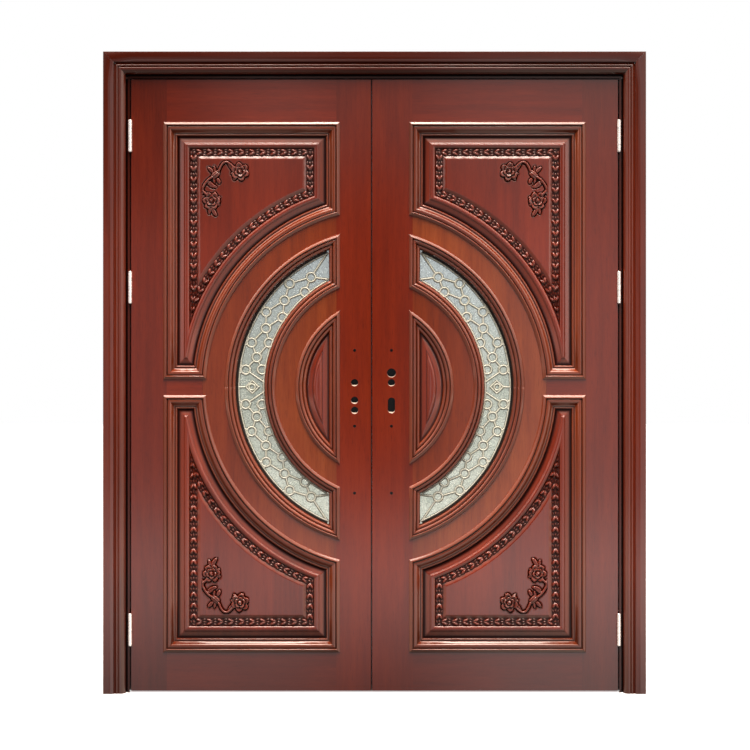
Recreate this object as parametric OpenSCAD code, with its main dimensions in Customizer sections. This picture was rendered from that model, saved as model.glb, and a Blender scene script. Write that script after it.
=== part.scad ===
// Two-leaf carved hardwood door set: rebated frame, moulded casing, raised
// panels, crescent leaded lights and butt hinges. Millimetres.
// Origin at floor level, middle of the width, in the plane of the rebate stop.
// +X to the right, +Z up, the front faces -Y.

/* [Frame] */
// Overall width over the casing
frame_width = 1800; // [1790:1:1830]
// Overall height to the top of the head casing
frame_height = 2130; // [2124:1:2150]
// Width of the casing boards
casing_width = 72; // [70:1:74]
// Thickness of the casing boards at the flat band
casing_thickness = 26; // [24:1:30]
// Depth of the jambs behind the rebate stop
jamb_back = 73; // [65:1:100]
// Thickness of the jambs at the rebate
jamb_thickness = 38; // [36:1:40]
// Height of the rebate stop over the rebate face
stop_height = 16; // [14:1:18]
// Width and depth of the shadow groove beside the casing
quirk = 7; // [5:0.5:8]
// Diameter of the frame fixing holes in the jambs
fixing_hole = 8; // [7:0.5:10]

/* [Leaves] */
// Thickness of the leaves
leaf_thickness = 45; // [44:0.5:48]
// Visible width of the hinge stiles
hinge_stile = 106.5; // [104:0.5:110]
// Visible height of the top rails
top_rail = 141; // [138:1:146]
// Visible height of the mid rails
mid_rail = 52; // [48:1:56]
// Distance from the middle of the set to the lock side mouldings
lock_line = 115; // [112:1:118]
// Height of the layout centre over the floor
layout_z = 1017; // [1014:1:1020]

/* [Curves] */
// Radius of the corner panel arcs at the moulding
panel_radius = 592; // [588:1:594]
// Outer radius of the crescent light at the moulding
light_outer = 531; // [528:1:534]
// Inner radius of the crescent light at the moulding
light_inner = 362; // [358:1:364]
// Radius of the centre panel at the moulding
centre_radius = 296; // [293:1:299]

/* [Glass] */
// Thickness of the glass panes
glass_thickness = 8; // [6:0.5:10]
// Width of the came strips
came_width = 4.4; // [4:0.1:5]
// Thickness of the came strips
came_thickness = 2.4; // [2:0.1:3]

/* [Hinges] */
// Length of the hinge knuckle stack
hinge_length = 102; // [98:1:106]
// Height of the upper hinges
hinge_z1 = 1853; // [1840:1:1865]
// Height of the middle hinges
hinge_z2 = 1349; // [1335:1:1365]
// Height of the lower hinges
hinge_z3 = 210; // [200:1:225]

/* [Lock holes] */
// Diameter of the small screw holes
screw_hole = 10; // [9:0.5:11]
// Diameter of the spindle and cylinder bores
lock_bore = 24; // [22:0.5:25]
// Diameter of the upper bore of the right leaf
upper_bore = 30; // [28:0.5:32]
// Depth of the lock holes from the front face
lock_depth = 38; // [30:1:40]

/* [Hidden] */

$fn = 96;
wood = [0.42, 0.17, 0.11];
wood_dark = [0.34, 0.13, 0.09];
steel = [0.78, 0.78, 0.8];
came_grey = [0.86, 0.87, 0.8];
pane_tint = [0.72, 0.78, 0.74, 0.6];

// frame, taken from the casing inwards
half = frame_width / 2;
casing_in = half - casing_width;
casing_low = frame_height - casing_width;
jamb_in = casing_in - 13;
jamb_out = jamb_in + jamb_thickness;
stop_in = jamb_in - stop_height;
head_low = casing_low - 13;
head_stop = head_low - stop_height;
head_top = head_low + jamb_thickness;
leaf_edge = jamb_in - 5;
leaf_top = head_low - 4;
leaf_low = 6;
t = leaf_thickness;
face_y = -t - 2;

// leaf layout; the right leaf is drawn flat, x from the middle of the set
cx = -31.5;
zc = layout_z;
xo = leaf_edge - hinge_stile;
xi = lock_line;
zt = leaf_top - top_rail;
mh = mid_rail / 2;
rp = panel_radius;
rg = light_outer;
rh = light_inner;
rc = centre_radius;
// lap of the mouldings over the framing, and the gap beside their tongues
lap = 12;
gap = 0.3;
// width of the mouldings around the lights and centre panels
mw = 37;
// width of the mouldings around the corner panels
pw = 47;
// half of the hairline between mitred strips
hair = 0.1;
// meeting edges: front gap, and how far the back edge is planed away
meet_left = 11;
meet_right = -9;
meet_bevel = 2.4;
// dark strip in the left leaf's meeting edge
seal_depth = 4;
seal_width = 7;
seal_tip = 9.3;

// fixed heights of the screw holes and bores
small_z = [1139.5, 887, 664];
spindle_z = 1032;
left_cylinder_z = [973.5, 940];
right_upper_z = 1064.4;
right_slot_z = [942, 970.5];
left_lock_x = 66.5;
right_lock_x = 56.2;
fixing_z = [150, 750, 1350, 1950];

// hinge axis and plates
pin_x = jamb_in - 2;
pin_y = face_y - 7.5;
knuckle_r = 6.5;
pin_r = 3.2;
plate_t = 2.5;
plate_in = 30;
hinge_zs = [hinge_z1, hinge_z2, hinge_z3];
screw_spots = [[10, -38], [21, -14], [10, 14], [21, 38]];

// moulding section: u across from the outer edge, h over the leaf face
crown = [[0, 0], [0, 2.2], [1.2, 4.8], [3, 6.9], [5.4, 8.2], [7.8, 8.6],
  [10, 8], [11.6, 6.4], [12.3, 4.6], [13.8, 4.6], [14.8, 5.7], [17.2, 6.1],
  [20.2, 5.1], [22.8, 2.9], [24.4, 0.5], [24.9, -0.9], [26.4, -0.9],
  [27.4, 0], [29.8, 0.2], [32.6, -0.8], [34.9, -3], [36.2, -5.8], [mw, -7.5]];
function section(floor_h, w = mw) = concat(
  [for (p = crown) [p[0] * w / mw, p[1]]],
  [[w, floor_h], [lap + gap, floor_h], [lap + gap, 0]]);
panel_floor = -10;
glass_floor = -(t - glass_thickness) / 2;

// raised panel section: u from the moulding's outer edge, h over the leaf face
bevel = [[lap + 1, panel_floor], [42, panel_floor], [43, -9.4], [65, -4.4],
  [66, -4.2], [69, -1.4], [72, -0.6], [1200, -0.6]];
function flip(p) = [for (i = [len(p) - 1:-1:0]) [p[i][0], -t - p[i][1]]];
panel_section = concat(bevel, flip(bevel));
// the same field along straight edges and along the arc, with its root
field_line = [[53, -16], [53, -9.4], [65, -4.6], [66, -4.2], [69, -1.4],
  [72, -0.6], [1200, -0.6], [1200, -16]];
field_arc = [[53.4, -17], [53.4, -9.2], [65.4, -4.5], [66.4, -4.05],
  [69.3, -1.25], [72.3, -0.45], [1200, -0.45], [1200, -17]];
// carved border channel
channel_in = 84;
channel_out = 113;
channel_floor = -4.6;

// points of the mitre lines, u across the moulding
us = [-2, 0, 9, 18, 27, mw + 1, pw + 1];
function a_at(u) = [xo - u, zt - u];
function b_at(u) = [xi + u, zt - u];
function c_at(u) = [xi + u, zc + sqrt(pow(rp + u, 2) - pow(xi + u - cx, 2))];
function d_at(u) = [cx + sqrt(pow(rp + u, 2) - pow(mh + u, 2)), zc + mh + u];
function e_at(u) = [xo - u, zc + mh + u];
function g_at(u) = [xi + u, zc + sqrt(pow(rg - u, 2) - pow(xi + u - cx, 2))];
function h_at(u) = [xi + u, zc + sqrt(pow(rh + u, 2) - pow(xi + u - cx, 2))];
function k_at(u) = [xi + u, zc + sqrt(pow(rc - u, 2) - pow(xi + u - cx, 2))];
function down(p) = [p[0], 2 * zc - p[1]];
function polar(r, a) = [cx + r * cos(a), zc + r * sin(a)];

// came layout: angle from level and radius of the gems, one half of the light
gem_mid = [[13, 438], [26.4, 439], [41, 440], [56.2, 440]];
gem_in = [[7.9, 404], [20.8, 404], [34.5, 405], [50, 406]];
gem_out = [[7, 462], [18.6, 463], [32.5, 464], [47.6, 466]];
gem_r = 14.8;

// ---- placing ---------------------------------------------------------------

// stands a flat drawing up as the left (-1) or right (1) leaf
module leaf(side) {
  mirror([side < 0 ? 1 : 0, 0, 0])
    translate([0, face_y, 0]) rotate([90, 0, 0]) children();
}

// turns an upper half of the leaf into the lower half
module lower_half() {
  translate([0, 2 * zc, 0]) mirror([0, 1, 0]) children();
}

// turns front work into back work
module back_side() {
  translate([0, 0, -t]) mirror([0, 0, 1]) children();
}

// sweeps a section along a straight edge through p, n pointing inwards
module straight(pts, p, n, len) {
  multmatrix([[n[0], 0, n[1], p[0]], [n[1], 0, -n[0], p[1]],
      [0, 1, 0, 0], [0, 0, 0, 1]])
    translate([0, 0, -len / 2]) linear_extrude(height = len) polygon(pts);
}

// sweeps a section around the layout centre; out is 1 where u grows outwards
module round_edge(pts, r, out, from, span) {
  translate([cx, zc, 0]) rotate([0, 0, from])
    rotate_extrude(angle = span, $fn = 180)
      polygon([for (p = pts) [r + out * p[0], p[1]]]);
}

// a prism over a flat outline, deep enough for any moulding
module wedge(pts) {
  translate([0, 0, -t]) linear_extrude(height = t + 20) polygon(pts);
}

// the corner panel outline, moved inwards by u
module corner_flat(u) {
  difference() {
    translate([xi + u, zc + mh + u])
      square([xo - xi - 2 * u, zt - zc - mh - 2 * u]);
    translate([cx, zc]) circle(r = rp + u, $fn = 180);
  }
}

// the crescent outline, moved inwards by u
module crescent_flat(u) {
  difference() {
    intersection() {
      translate([cx, zc]) circle(r = rg - u, $fn = 180);
      translate([xi + u, zc - rg]) square([rg, 2 * rg]);
    }
    translate([cx, zc]) circle(r = rh + u, $fn = 180);
  }
}

// ---- frame -----------------------------------------------------------------

casing_section = [[0, 0], [0, casing_thickness - 1.5],
  [1.5, casing_thickness], [33, casing_thickness],
  [34.5, casing_thickness - 1.5], [35.5, 18], [36.5, 16], [38, 17.5],
  [41, 21], [44.5, 23], [47, 22.6], [48.3, 21], [49.2, 19.4], [50.2, 20.3],
  [52.5, 22], [55.5, 22.6], [58.5, 21.6], [61.5, 19], [65, 15],
  [68, 11.8], [casing_width - 1, 9.6], [casing_width, 9], [casing_width, 0]];

module casing_side() {
  translate([0, face_y, 0]) rotate([90, 0, 0]) intersection() {
    straight(casing_section, [half, frame_height / 2], [-1, 0],
      frame_height);
    translate([0, 0, -5]) linear_extrude(height = 60)
      polygon([[half + 5, -5], [half + 5, frame_height + 5],
        [casing_in - 5, casing_low - 5], [casing_in - 5, -5]]);
  }
}

module casing_head() {
  translate([0, face_y, 0]) rotate([90, 0, 0]) intersection() {
    straight(casing_section, [0, frame_height], [0, -1], frame_width);
    translate([0, 0, -5]) linear_extrude(height = 60)
      polygon([[half + 5, frame_height + 5], [-half - 5, frame_height + 5],
        [-casing_in + 5, casing_low - 5], [casing_in - 5, casing_low - 5]]);
  }
}

module hinge_pocket(x0, x1) {
  for (z = hinge_zs)
    translate([x0, face_y - 20, z - hinge_length / 2])
      cube([x1 - x0, 20 + plate_in, hinge_length]);
}

module jamb(side) {
  color(wood_dark) mirror([side < 0 ? 1 : 0, 0, 0]) difference() {
    linear_extrude(height = head_low)
      polygon([[jamb_in, face_y], [casing_in - quirk, face_y],
        [casing_in - quirk, face_y + quirk], [casing_in, face_y + quirk],
        [casing_in, face_y], [jamb_out, face_y], [jamb_out, jamb_back],
        [stop_in, jamb_back], [stop_in, 0], [jamb_in, 0]]);
    hinge_pocket(jamb_in - 5, jamb_in + plate_t);
    for (z = fixing_z) translate([stop_in - 5, jamb_back / 2, z])
      rotate([0, 90, 0]) cylinder(d = fixing_hole, h = 80, $fn = 32);
    for (z = hinge_zs, s = screw_spots)
      translate([jamb_in, face_y + s[0], z + s[1]])
        rotate([0, 90, 0]) cylinder(r = 2.2, h = 28, $fn = 24);
  }
}

module left_jamb() { jamb(-1); }
module right_jamb() { jamb(1); }

module head_jamb() {
  color(wood_dark) difference() {
    union() {
      translate([-jamb_out, face_y, head_low])
        cube([2 * jamb_out, jamb_back - face_y, jamb_thickness]);
      translate([-stop_in, 0, head_stop])
        cube([2 * stop_in, jamb_back, stop_height + 5]);
    }
    translate([-casing_in, face_y - 5, casing_low - quirk])
      cube([2 * casing_in, 5 + quirk, quirk]);
    for (s = [-1, 1]) translate([s * (casing_in - quirk / 2) - quirk / 2,
        face_y - 5, head_low - 5])
      cube([quirk, 5 + quirk, casing_low - head_low]);
  }
}

module left_casing() { color(wood) mirror([1, 0, 0]) casing_side(); }
module right_casing() { color(wood) casing_side(); }
module head_casing() { color(wood) casing_head(); }

// ---- hinges ----------------------------------------------------------------

kn = hinge_length / 5;

// one plate with its knuckles; rows are the knuckle numbers it carries
module hinge_half(x0, rows, mark) {
  difference() {
    union() {
      translate([x0, pin_y, -hinge_length / 2])
        cube([plate_t, plate_in + face_y - pin_y, hinge_length]);
      for (i = rows)
        translate([pin_x, pin_y, -hinge_length / 2 + i * kn + 0.3])
          cylinder(r = knuckle_r, h = kn - 0.6, $fn = 48);
    }
    for (i = [0:4]) if (len(search(i, rows)) == 0)
      translate([pin_x, pin_y, -hinge_length / 2 + i * kn - 0.3])
        cylinder(r = knuckle_r + 0.8, h = kn + 0.6, $fn = 48);
    translate([pin_x, pin_y, -hinge_length])
      cylinder(r = pin_r + 0.3, h = 2 * hinge_length, $fn = 32);
    for (s = screw_spots) translate([x0 - 1, face_y + s[0], s[1]])
      rotate([0, 90, 0]) cylinder(r = 4.3, h = plate_t + 2, $fn = 32);
  }
}

module frame_plates(side) {
  color(steel) mirror([side < 0 ? 1 : 0, 0, 0])
    for (z = hinge_zs) translate([0, 0, z])
      hinge_half(jamb_in, [0, 2, 4], 1);
}

module leaf_plates(side) {
  color(steel) mirror([side < 0 ? 1 : 0, 0, 0])
    for (z = hinge_zs) translate([0, 0, z])
      hinge_half(leaf_edge - plate_t, [1, 3], 1);
}

module pins(side) {
  color(steel) mirror([side < 0 ? 1 : 0, 0, 0])
    for (z = hinge_zs) translate([pin_x, pin_y, z]) rotate_extrude($fn = 48)
      polygon([[0, -hinge_length / 2 - 2.7], [4.4, -hinge_length / 2 - 2.7],
        [5.8, -hinge_length / 2 - 1.4], [5.8, -hinge_length / 2 - 0.1],
        [pin_r, -hinge_length / 2 - 0.1], [pin_r, hinge_length / 2 + 0.1],
        [5.8, hinge_length / 2 + 0.1], [5.8, hinge_length / 2 + 1.4],
        [4.4, hinge_length / 2 + 2.7], [0, hinge_length / 2 + 2.7]]);
}

// a screw along +X, its head flush with the plate's face at x = 0
module screw() {
  rotate([0, 90, 0]) rotate_extrude($fn = 32)
    polygon([[0, 0.2], [4, 0.2], [4, plate_t], [1.9, plate_t], [1.9, 24],
      [0, 26]]);
}

module left_hinge_frame_plates() { frame_plates(-1); }
module right_hinge_frame_plates() { frame_plates(1); }
module left_hinge_pins() { pins(-1); }
module right_hinge_pins() { pins(1); }

module hinge_frame_screws() {
  color(steel) for (m = [0, 1]) mirror([m, 0, 0])
    for (z = hinge_zs, s = screw_spots)
      translate([jamb_in, face_y + s[0], z + s[1]]) screw();
}

module leaf_screws(side) {
  color(steel) mirror([side < 0 ? 1 : 0, 0, 0])
    for (z = hinge_zs, s = screw_spots)
      translate([leaf_edge, face_y + s[0], z + s[1]])
        mirror([1, 0, 0]) screw();
}

module left_hinge_leaf_plates() { leaf_plates(-1); }
module right_hinge_leaf_plates() { leaf_plates(1); }
module left_hinge_leaf_screws() { leaf_screws(-1); }
module right_hinge_leaf_screws() { leaf_screws(1); }

// ---- framing of the leaves -------------------------------------------------

module stile_at_hinges(side) {
  color(wood) mirror([side < 0 ? 1 : 0, 0, 0]) difference() {
    translate([xo - lap, face_y, leaf_low])
      cube([leaf_edge - xo + lap, t, leaf_top - leaf_low]);
    hinge_pocket(leaf_edge - plate_t, leaf_edge + 5);
    for (z = hinge_zs, s = screw_spots)
      translate([leaf_edge - 28, face_y + s[0], z + s[1]])
        rotate([0, 90, 0]) cylinder(r = 2.2, h = 28, $fn = 24);
  }
}

module stile_at_lock(side, meet) {
  leaf(side) multmatrix([[1, 0, 0, 0], [0, 0, 1, 0], [0, 1, 0, 0],
      [0, 0, 0, 1]])
    translate([0, 0, leaf_low]) linear_extrude(height = leaf_top - leaf_low)
      polygon([[meet, 0], [xi + lap, 0], [xi + lap, -t],
        [meet + meet_bevel, -t]]);
}

// a lock hole, drilled from the front; less makes it shallower than the spindle's
module drilled(side, x, z, d, less = 0) {
  leaf(side) translate([x, z, less - lock_depth])
    cylinder(d = d, h = lock_depth - less + 5, $fn = 48);
}

module left_hinge_stile() { stile_at_hinges(-1); }
module right_hinge_stile() { stile_at_hinges(1); }

module left_lock_stile() {
  color(wood) difference() {
    stile_at_lock(-1, meet_left);
    leaf(-1) translate([0, leaf_low - 5, -seal_depth - seal_width])
      cube([meet_left + 4, leaf_top - leaf_low + 10, seal_width]);
    for (z = small_z) drilled(-1, left_lock_x, z, screw_hole, 10);
    drilled(-1, left_lock_x, spindle_z, lock_bore);
    for (i = [0, 1]) drilled(-1, left_lock_x, left_cylinder_z[i], lock_bore, 3 + 3 * i);
  }
}

module left_meeting_seal() {
  color([0.06, 0.05, 0.05]) leaf(-1)
    translate([seal_tip, leaf_low, -seal_depth - seal_width])
      cube([meet_left + 4 - seal_tip, leaf_top - leaf_low, seal_width]);
}

module right_lock_stile() {
  color(wood) difference() {
    stile_at_lock(1, meet_right);
    for (z = small_z) drilled(1, right_lock_x, z, screw_hole, 10);
    drilled(1, right_lock_x, spindle_z, lock_bore);
    drilled(1, right_lock_x, right_upper_z, upper_bore, 3);
    for (z = right_slot_z) drilled(1, right_lock_x, z, lock_bore, 6);
    leaf(1) translate([right_lock_x - lock_bore / 2, right_slot_z[0],
        6 - lock_depth])
      cube([lock_bore, right_slot_z[1] - right_slot_z[0], lock_depth - 1]);
  }
}

module rail(side, z0, z1) {
  color(wood) leaf(side) translate([xi + lap, z0, -t])
    cube([xo - xi - 2 * lap, z1 - z0, t]);
}

module left_top_rail() { rail(-1, zt - lap, leaf_top); }
module right_top_rail() { rail(1, zt - lap, leaf_top); }
module left_bottom_rail() { rail(-1, leaf_low, 2 * zc - zt + lap); }
module right_bottom_rail() { rail(1, leaf_low, 2 * zc - zt + lap); }

module rail_in_middle(side) {
  color(wood) leaf(side) translate([0, 0, -t]) linear_extrude(height = t)
    difference() {
      translate([cx + rp - 30, zc - mh - lap])
        square([xo - lap - cx - rp + 30, 2 * (mh + lap)]);
      translate([cx, zc]) circle(r = rp + lap + gap, $fn = 180);
    }
}

module left_mid_rail() { rail_in_middle(-1); }
module right_mid_rail() { rail_in_middle(1); }

module ring_rail(side, r0, r1) {
  color(wood) leaf(side) translate([0, 0, -t]) linear_extrude(height = t)
    difference() {
      intersection() {
        translate([cx, zc]) circle(r = r1, $fn = 180);
        translate([xi + lap, zc - r1 - 5]) square([r1 + 60, 2 * r1 + 10]);
      }
      translate([cx, zc]) circle(r = r0, $fn = 180);
    }
}

module left_outer_curved_rail() { ring_rail(-1, rg - lap, rp + lap); }
module right_outer_curved_rail() { ring_rail(1, rg - lap, rp + lap); }
module left_inner_curved_rail() { ring_rail(-1, rc - lap, rh + lap); }
module right_inner_curved_rail() { ring_rail(1, rc - lap, rh + lap); }

// ---- panels ----------------------------------------------------------------

// the raised field of a corner panel, rooted in its slab
module corner_field() {
  intersection() {
    straight(field_line, [xo, zc + 400], [-1, 0], 1400);
    straight(field_line, [xi, zc + 400], [1, 0], 1400);
    straight(field_line, [400, zt], [0, -1], 1400);
    straight(field_line, [400, zc + mh], [0, 1], 1400);
    round_edge(field_arc, rp, 1, -10, 110);
  }
}

module corner_panel() {
  difference() {
    union() {
      translate([0, 0, -t - panel_floor])
        linear_extrude(height = t + 2 * panel_floor) corner_flat(lap + 1);
      corner_field();
      back_side() corner_field();
    }
    translate([0, 0, channel_floor]) linear_extrude(height = 20)
      difference() {
        corner_flat(channel_in);
        corner_flat(channel_out);
      }
  }
}

module middle_panel() {
  intersection() {
    straight(panel_section, [xi, zc], [1, 0], 1400);
    translate([cx, zc, 0]) rotate_extrude($fn = 180)
      polygon([for (p = panel_section) [max(0, rc - p[0]), p[1]]]);
  }
}

module left_upper_panel() { color(wood) leaf(-1) corner_panel(); }
module right_upper_panel() { color(wood) leaf(1) corner_panel(); }
module left_lower_panel() { color(wood) leaf(-1) lower_half() corner_panel(); }
module right_lower_panel() { color(wood) leaf(1) lower_half() corner_panel(); }
module left_centre_panel() { color(wood) leaf(-1) middle_panel(); }
module right_centre_panel() { color(wood) leaf(1) middle_panel(); }

// ---- glass -----------------------------------------------------------------

module pane(side) {
  color(pane_tint) leaf(side) translate([0, 0, glass_floor - glass_thickness])
    linear_extrude(height = glass_thickness) crescent_flat(lap + 1);
}

module bar(p, q) {
  d = q - p;
  l = norm(d);
  translate(p) rotate(atan2(d[1], d[0]))
    translate([0, -came_width / 2]) square([l, came_width]);
}

// a strip between two gems, from rim to rim
module link(p, q) {
  d = (q - p) / norm(q - p);
  bar(p + d * gem_r, q - d * gem_r);
}

// a strip from a gem's rim to a free point
module stub(p, q) {
  d = (q - p) / norm(q - p);
  bar(p + d * gem_r, q);
}

function gem(list, i) = polar(list[i][1], list[i][0]);

module gem_ring(p) {
  translate(p) difference() {
    circle(r = gem_r + came_width / 2, $fn = 40);
    circle(r = gem_r - came_width / 2, $fn = 40);
  }
}

module came_half() {
  for (i = [0:3]) {
    gem_ring(gem(gem_mid, i));
    gem_ring(gem(gem_in, i));
    gem_ring(gem(gem_out, i));
    link(gem(gem_mid, i), gem(gem_in, i));
    link(gem(gem_mid, i), gem(gem_out, i));
    if (i < 3) {
      link(gem(gem_mid, i), gem(gem_in, i + 1));
      link(gem(gem_mid, i), gem(gem_out, i + 1));
    }
    stub(gem(gem_out, i), polar(500, gem_out[i][0] - 3));
    stub(gem(gem_out, i), polar(500, gem_out[i][0] + 3));
  }
  stub(gem(gem_mid, 3), polar(388, 66.5));
  stub(gem(gem_mid, 3), polar(500, 69.5));
  stub(gem(gem_out, 0), polar(388, 1.1));
}

module came_flat() {
  intersection() {
    union() {
      came_half();
      translate([0, 2 * zc]) mirror([0, 1]) came_half();
      translate(polar(441, 0)) difference() {
        circle(r = 10 + came_width / 2, $fn = 36);
        circle(r = 10 - came_width / 2, $fn = 36);
      }
      for (s = [-1, 1]) {
        bar(polar(418, 0), polar(440, s * 2.7));
        bar(polar(440, s * 2.7), polar(462, 0));
      }
      bar(polar(460, 0), polar(500, 0));
    }
    crescent_flat(mw + 0.4);
  }
}

module came(side) {
  color(came_grey) leaf(side) for (m = [0, 1]) translate([0, 0, m * -t])
    mirror([0, 0, m]) translate([0, 0, glass_floor])
      linear_extrude(height = came_thickness) came_flat();
}

module left_glass_pane() { pane(-1); }
module right_glass_pane() { pane(1); }
module left_glass_came() { came(-1); }
module right_glass_came() { came(1); }

// ---- mouldings -------------------------------------------------------------

function move(p, d) = [p[0] + d[0], p[1] + d[1]];
function rise(f, d) = [for (u = us) move(f == "a" ? a_at(u) :
  f == "b" ? b_at(u) : f == "c" ? c_at(u) : f == "d" ? d_at(u) :
  f == "e" ? e_at(u) : f == "g" ? g_at(u) : f == "h" ? h_at(u) :
  k_at(u), d)];
function back(p) = [for (i = [len(p) - 1:-1:0]) p[i]];
function under(p) = [for (q = p) down(q)];

module corner_moulding() {
  pts = section(panel_floor, pw);
  intersection() {
    straight(pts, [xo, (zt + zc) / 2], [-1, 0], 1200);
    wedge(concat(rise("a", [0, -hair]), back(rise("e", [0, hair]))));
  }
  intersection() {
    straight(pts, [(xi + xo) / 2, zt], [0, -1], 1200);
    wedge(concat(rise("a", [-hair, 0]), back(rise("b", [hair, 0]))));
  }
  intersection() {
    straight(pts, [xi, (zt + zc) / 2], [1, 0], 1400);
    wedge(concat(rise("b", [0, -hair]), back(rise("c", [0, hair]))));
  }
  intersection() {
    straight(pts, [(xi + xo) / 2, zc + mh], [0, 1], 1200);
    wedge(concat(rise("d", [hair, 0]), back(rise("e", [-hair, 0]))));
  }
  intersection() {
    round_edge(pts, rp, 1, -6, 96);
    wedge(concat(rise("c", [0, -hair]), [polar(rp + 210, 45)],
      back(rise("d", [-hair, 0])), [polar(rp - 190, 45)]));
  }
}

module glass_moulding() {
  pts = section(glass_floor);
  for (m = [0, 1]) translate([0, m * 2 * zc, 0]) mirror([0, m, 0])
    intersection() {
      straight(pts, [xi, zc + 430], [1, 0], 700);
      wedge(concat(rise("g", [0, -hair]), back(rise("h", [0, hair]))));
    }
  intersection() {
    round_edge(pts, rg, -1, -85, 170);
    wedge(concat(back(rise("g", [0, hair])),
      [[cx + 700, zc + 700], [cx + 700, zc - 700]],
      under(rise("g", [0, hair])), [[cx + 300, zc]]));
  }
  intersection() {
    round_edge(pts, rh, 1, -85, 170);
    wedge(concat(rise("h", [0, -hair]),
      [[cx + 400, zc + 400], [cx + 700, zc], [cx + 400, zc - 400]],
      back(under(rise("h", [0, -hair]))), [[cx + 200, zc]]));
  }
}

module centre_moulding() {
  pts = section(panel_floor);
  intersection() {
    straight(pts, [xi, zc], [1, 0], 700);
    wedge(concat(rise("k", [0, -hair]), back(under(rise("k", [0, -hair])))));
  }
  intersection() {
    round_edge(pts, rc, -1, -85, 170);
    wedge(concat(back(rise("k", [0, hair])),
      [[cx + 500, zc + 500], [cx + 500, zc - 500]],
      under(rise("k", [0, hair])), [[cx + 200, zc]]));
  }
}

module left_upper_moulding() { color(wood) leaf(-1) corner_moulding(); }
module right_upper_moulding() { color(wood) leaf(1) corner_moulding(); }
module left_lower_moulding() {
  color(wood) leaf(-1) lower_half() corner_moulding();
}
module right_lower_moulding() {
  color(wood) leaf(1) lower_half() corner_moulding();
}
module left_glass_moulding() { color(wood) leaf(-1) glass_moulding(); }
module right_glass_moulding() { color(wood) leaf(1) glass_moulding(); }
module left_centre_moulding() { color(wood) leaf(-1) centre_moulding(); }
module right_centre_moulding() { color(wood) leaf(1) centre_moulding(); }
module left_upper_moulding_back() {
  color(wood) leaf(-1) back_side() corner_moulding();
}
module right_upper_moulding_back() {
  color(wood) leaf(1) back_side() corner_moulding();
}
module left_lower_moulding_back() {
  color(wood) leaf(-1) back_side() lower_half() corner_moulding();
}
module right_lower_moulding_back() {
  color(wood) leaf(1) back_side() lower_half() corner_moulding();
}
module left_glass_moulding_back() {
  color(wood) leaf(-1) back_side() glass_moulding();
}
module right_glass_moulding_back() {
  color(wood) leaf(1) back_side() glass_moulding();
}
module left_centre_moulding_back() {
  color(wood) leaf(-1) back_side() centre_moulding();
}
module right_centre_moulding_back() {
  color(wood) leaf(1) back_side() centre_moulding();
}

left_jamb();
right_jamb();
head_jamb();
left_casing();
right_casing();
head_casing();
left_hinge_frame_plates();
right_hinge_frame_plates();
left_hinge_pins();
right_hinge_pins();
hinge_frame_screws();
left_hinge_stile();
left_lock_stile();
left_top_rail();
left_mid_rail();
left_bottom_rail();
left_outer_curved_rail();
left_inner_curved_rail();
left_upper_panel();
left_lower_panel();
left_centre_panel();
left_glass_pane();
left_glass_came();
left_upper_moulding();
left_lower_moulding();
left_glass_moulding();
left_centre_moulding();
left_upper_moulding_back();
left_lower_moulding_back();
left_glass_moulding_back();
left_centre_moulding_back();
left_hinge_leaf_plates();
left_hinge_leaf_screws();
left_meeting_seal();
right_hinge_stile();
right_lock_stile();
right_top_rail();
right_mid_rail();
right_bottom_rail();
right_outer_curved_rail();
right_inner_curved_rail();
right_upper_panel();
right_lower_panel();
right_centre_panel();
right_glass_pane();
right_glass_came();
right_upper_moulding();
right_lower_moulding();
right_glass_moulding();
right_centre_moulding();
right_upper_moulding_back();
right_lower_moulding_back();
right_glass_moulding_back();
right_centre_moulding_back();
right_hinge_leaf_plates();
right_hinge_leaf_screws();
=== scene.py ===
import math

import bpy
import numpy as np
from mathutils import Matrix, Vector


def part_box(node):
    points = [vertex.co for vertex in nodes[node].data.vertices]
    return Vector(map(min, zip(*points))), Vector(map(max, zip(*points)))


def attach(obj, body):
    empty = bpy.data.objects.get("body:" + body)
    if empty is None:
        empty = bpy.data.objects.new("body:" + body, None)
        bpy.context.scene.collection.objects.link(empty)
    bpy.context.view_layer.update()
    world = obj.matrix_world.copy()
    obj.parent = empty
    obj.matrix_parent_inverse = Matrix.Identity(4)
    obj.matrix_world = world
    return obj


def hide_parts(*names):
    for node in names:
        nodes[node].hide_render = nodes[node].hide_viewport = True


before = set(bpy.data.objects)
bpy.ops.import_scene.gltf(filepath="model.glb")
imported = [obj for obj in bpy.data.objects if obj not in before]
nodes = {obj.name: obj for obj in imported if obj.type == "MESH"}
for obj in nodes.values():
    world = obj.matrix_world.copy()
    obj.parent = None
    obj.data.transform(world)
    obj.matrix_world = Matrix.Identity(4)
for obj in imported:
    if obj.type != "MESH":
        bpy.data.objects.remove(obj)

scene = bpy.context.scene
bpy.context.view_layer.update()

# ---------------------------------------------------------------------------
# Layout in millimetres. X runs from the middle of the set to the hinge side,
# Z is the height over the floor and h the height over the leaf's front face.

FACE, T = -47.0, 45.0
CX, ZC, XO, XI, ZT, MH = -31.5, 1017.0, 703.5, 115.0, 1900.0, 26.0
RP, RG, RH, RC = 592.0, 531.0, 362.0, 296.0
HALF, TOP = 900.0, 2130.0
CENTRE = np.array([CX, ZC])


def on_line(u, radius):
    return ZC + math.sqrt(radius ** 2 - (XI + u - CX) ** 2)


def corner_a(u):
    return np.array([XO - u, ZT - u])


def corner_b(u):
    return np.array([XI + u, ZT - u])


def corner_c(u):
    return np.array([XI + u, on_line(u, RP + u)])


def tongue(u):
    x = XO - u
    return np.array([x, ZC + math.sqrt((RP + u) ** 2 - (x - CX) ** 2)])


def corner_d(u):
    x = CX + math.sqrt((RP + u) ** 2 - (MH + u) ** 2)
    return np.array([x, ZC + MH + u]) if x < XO - u else tongue(u)


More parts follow.
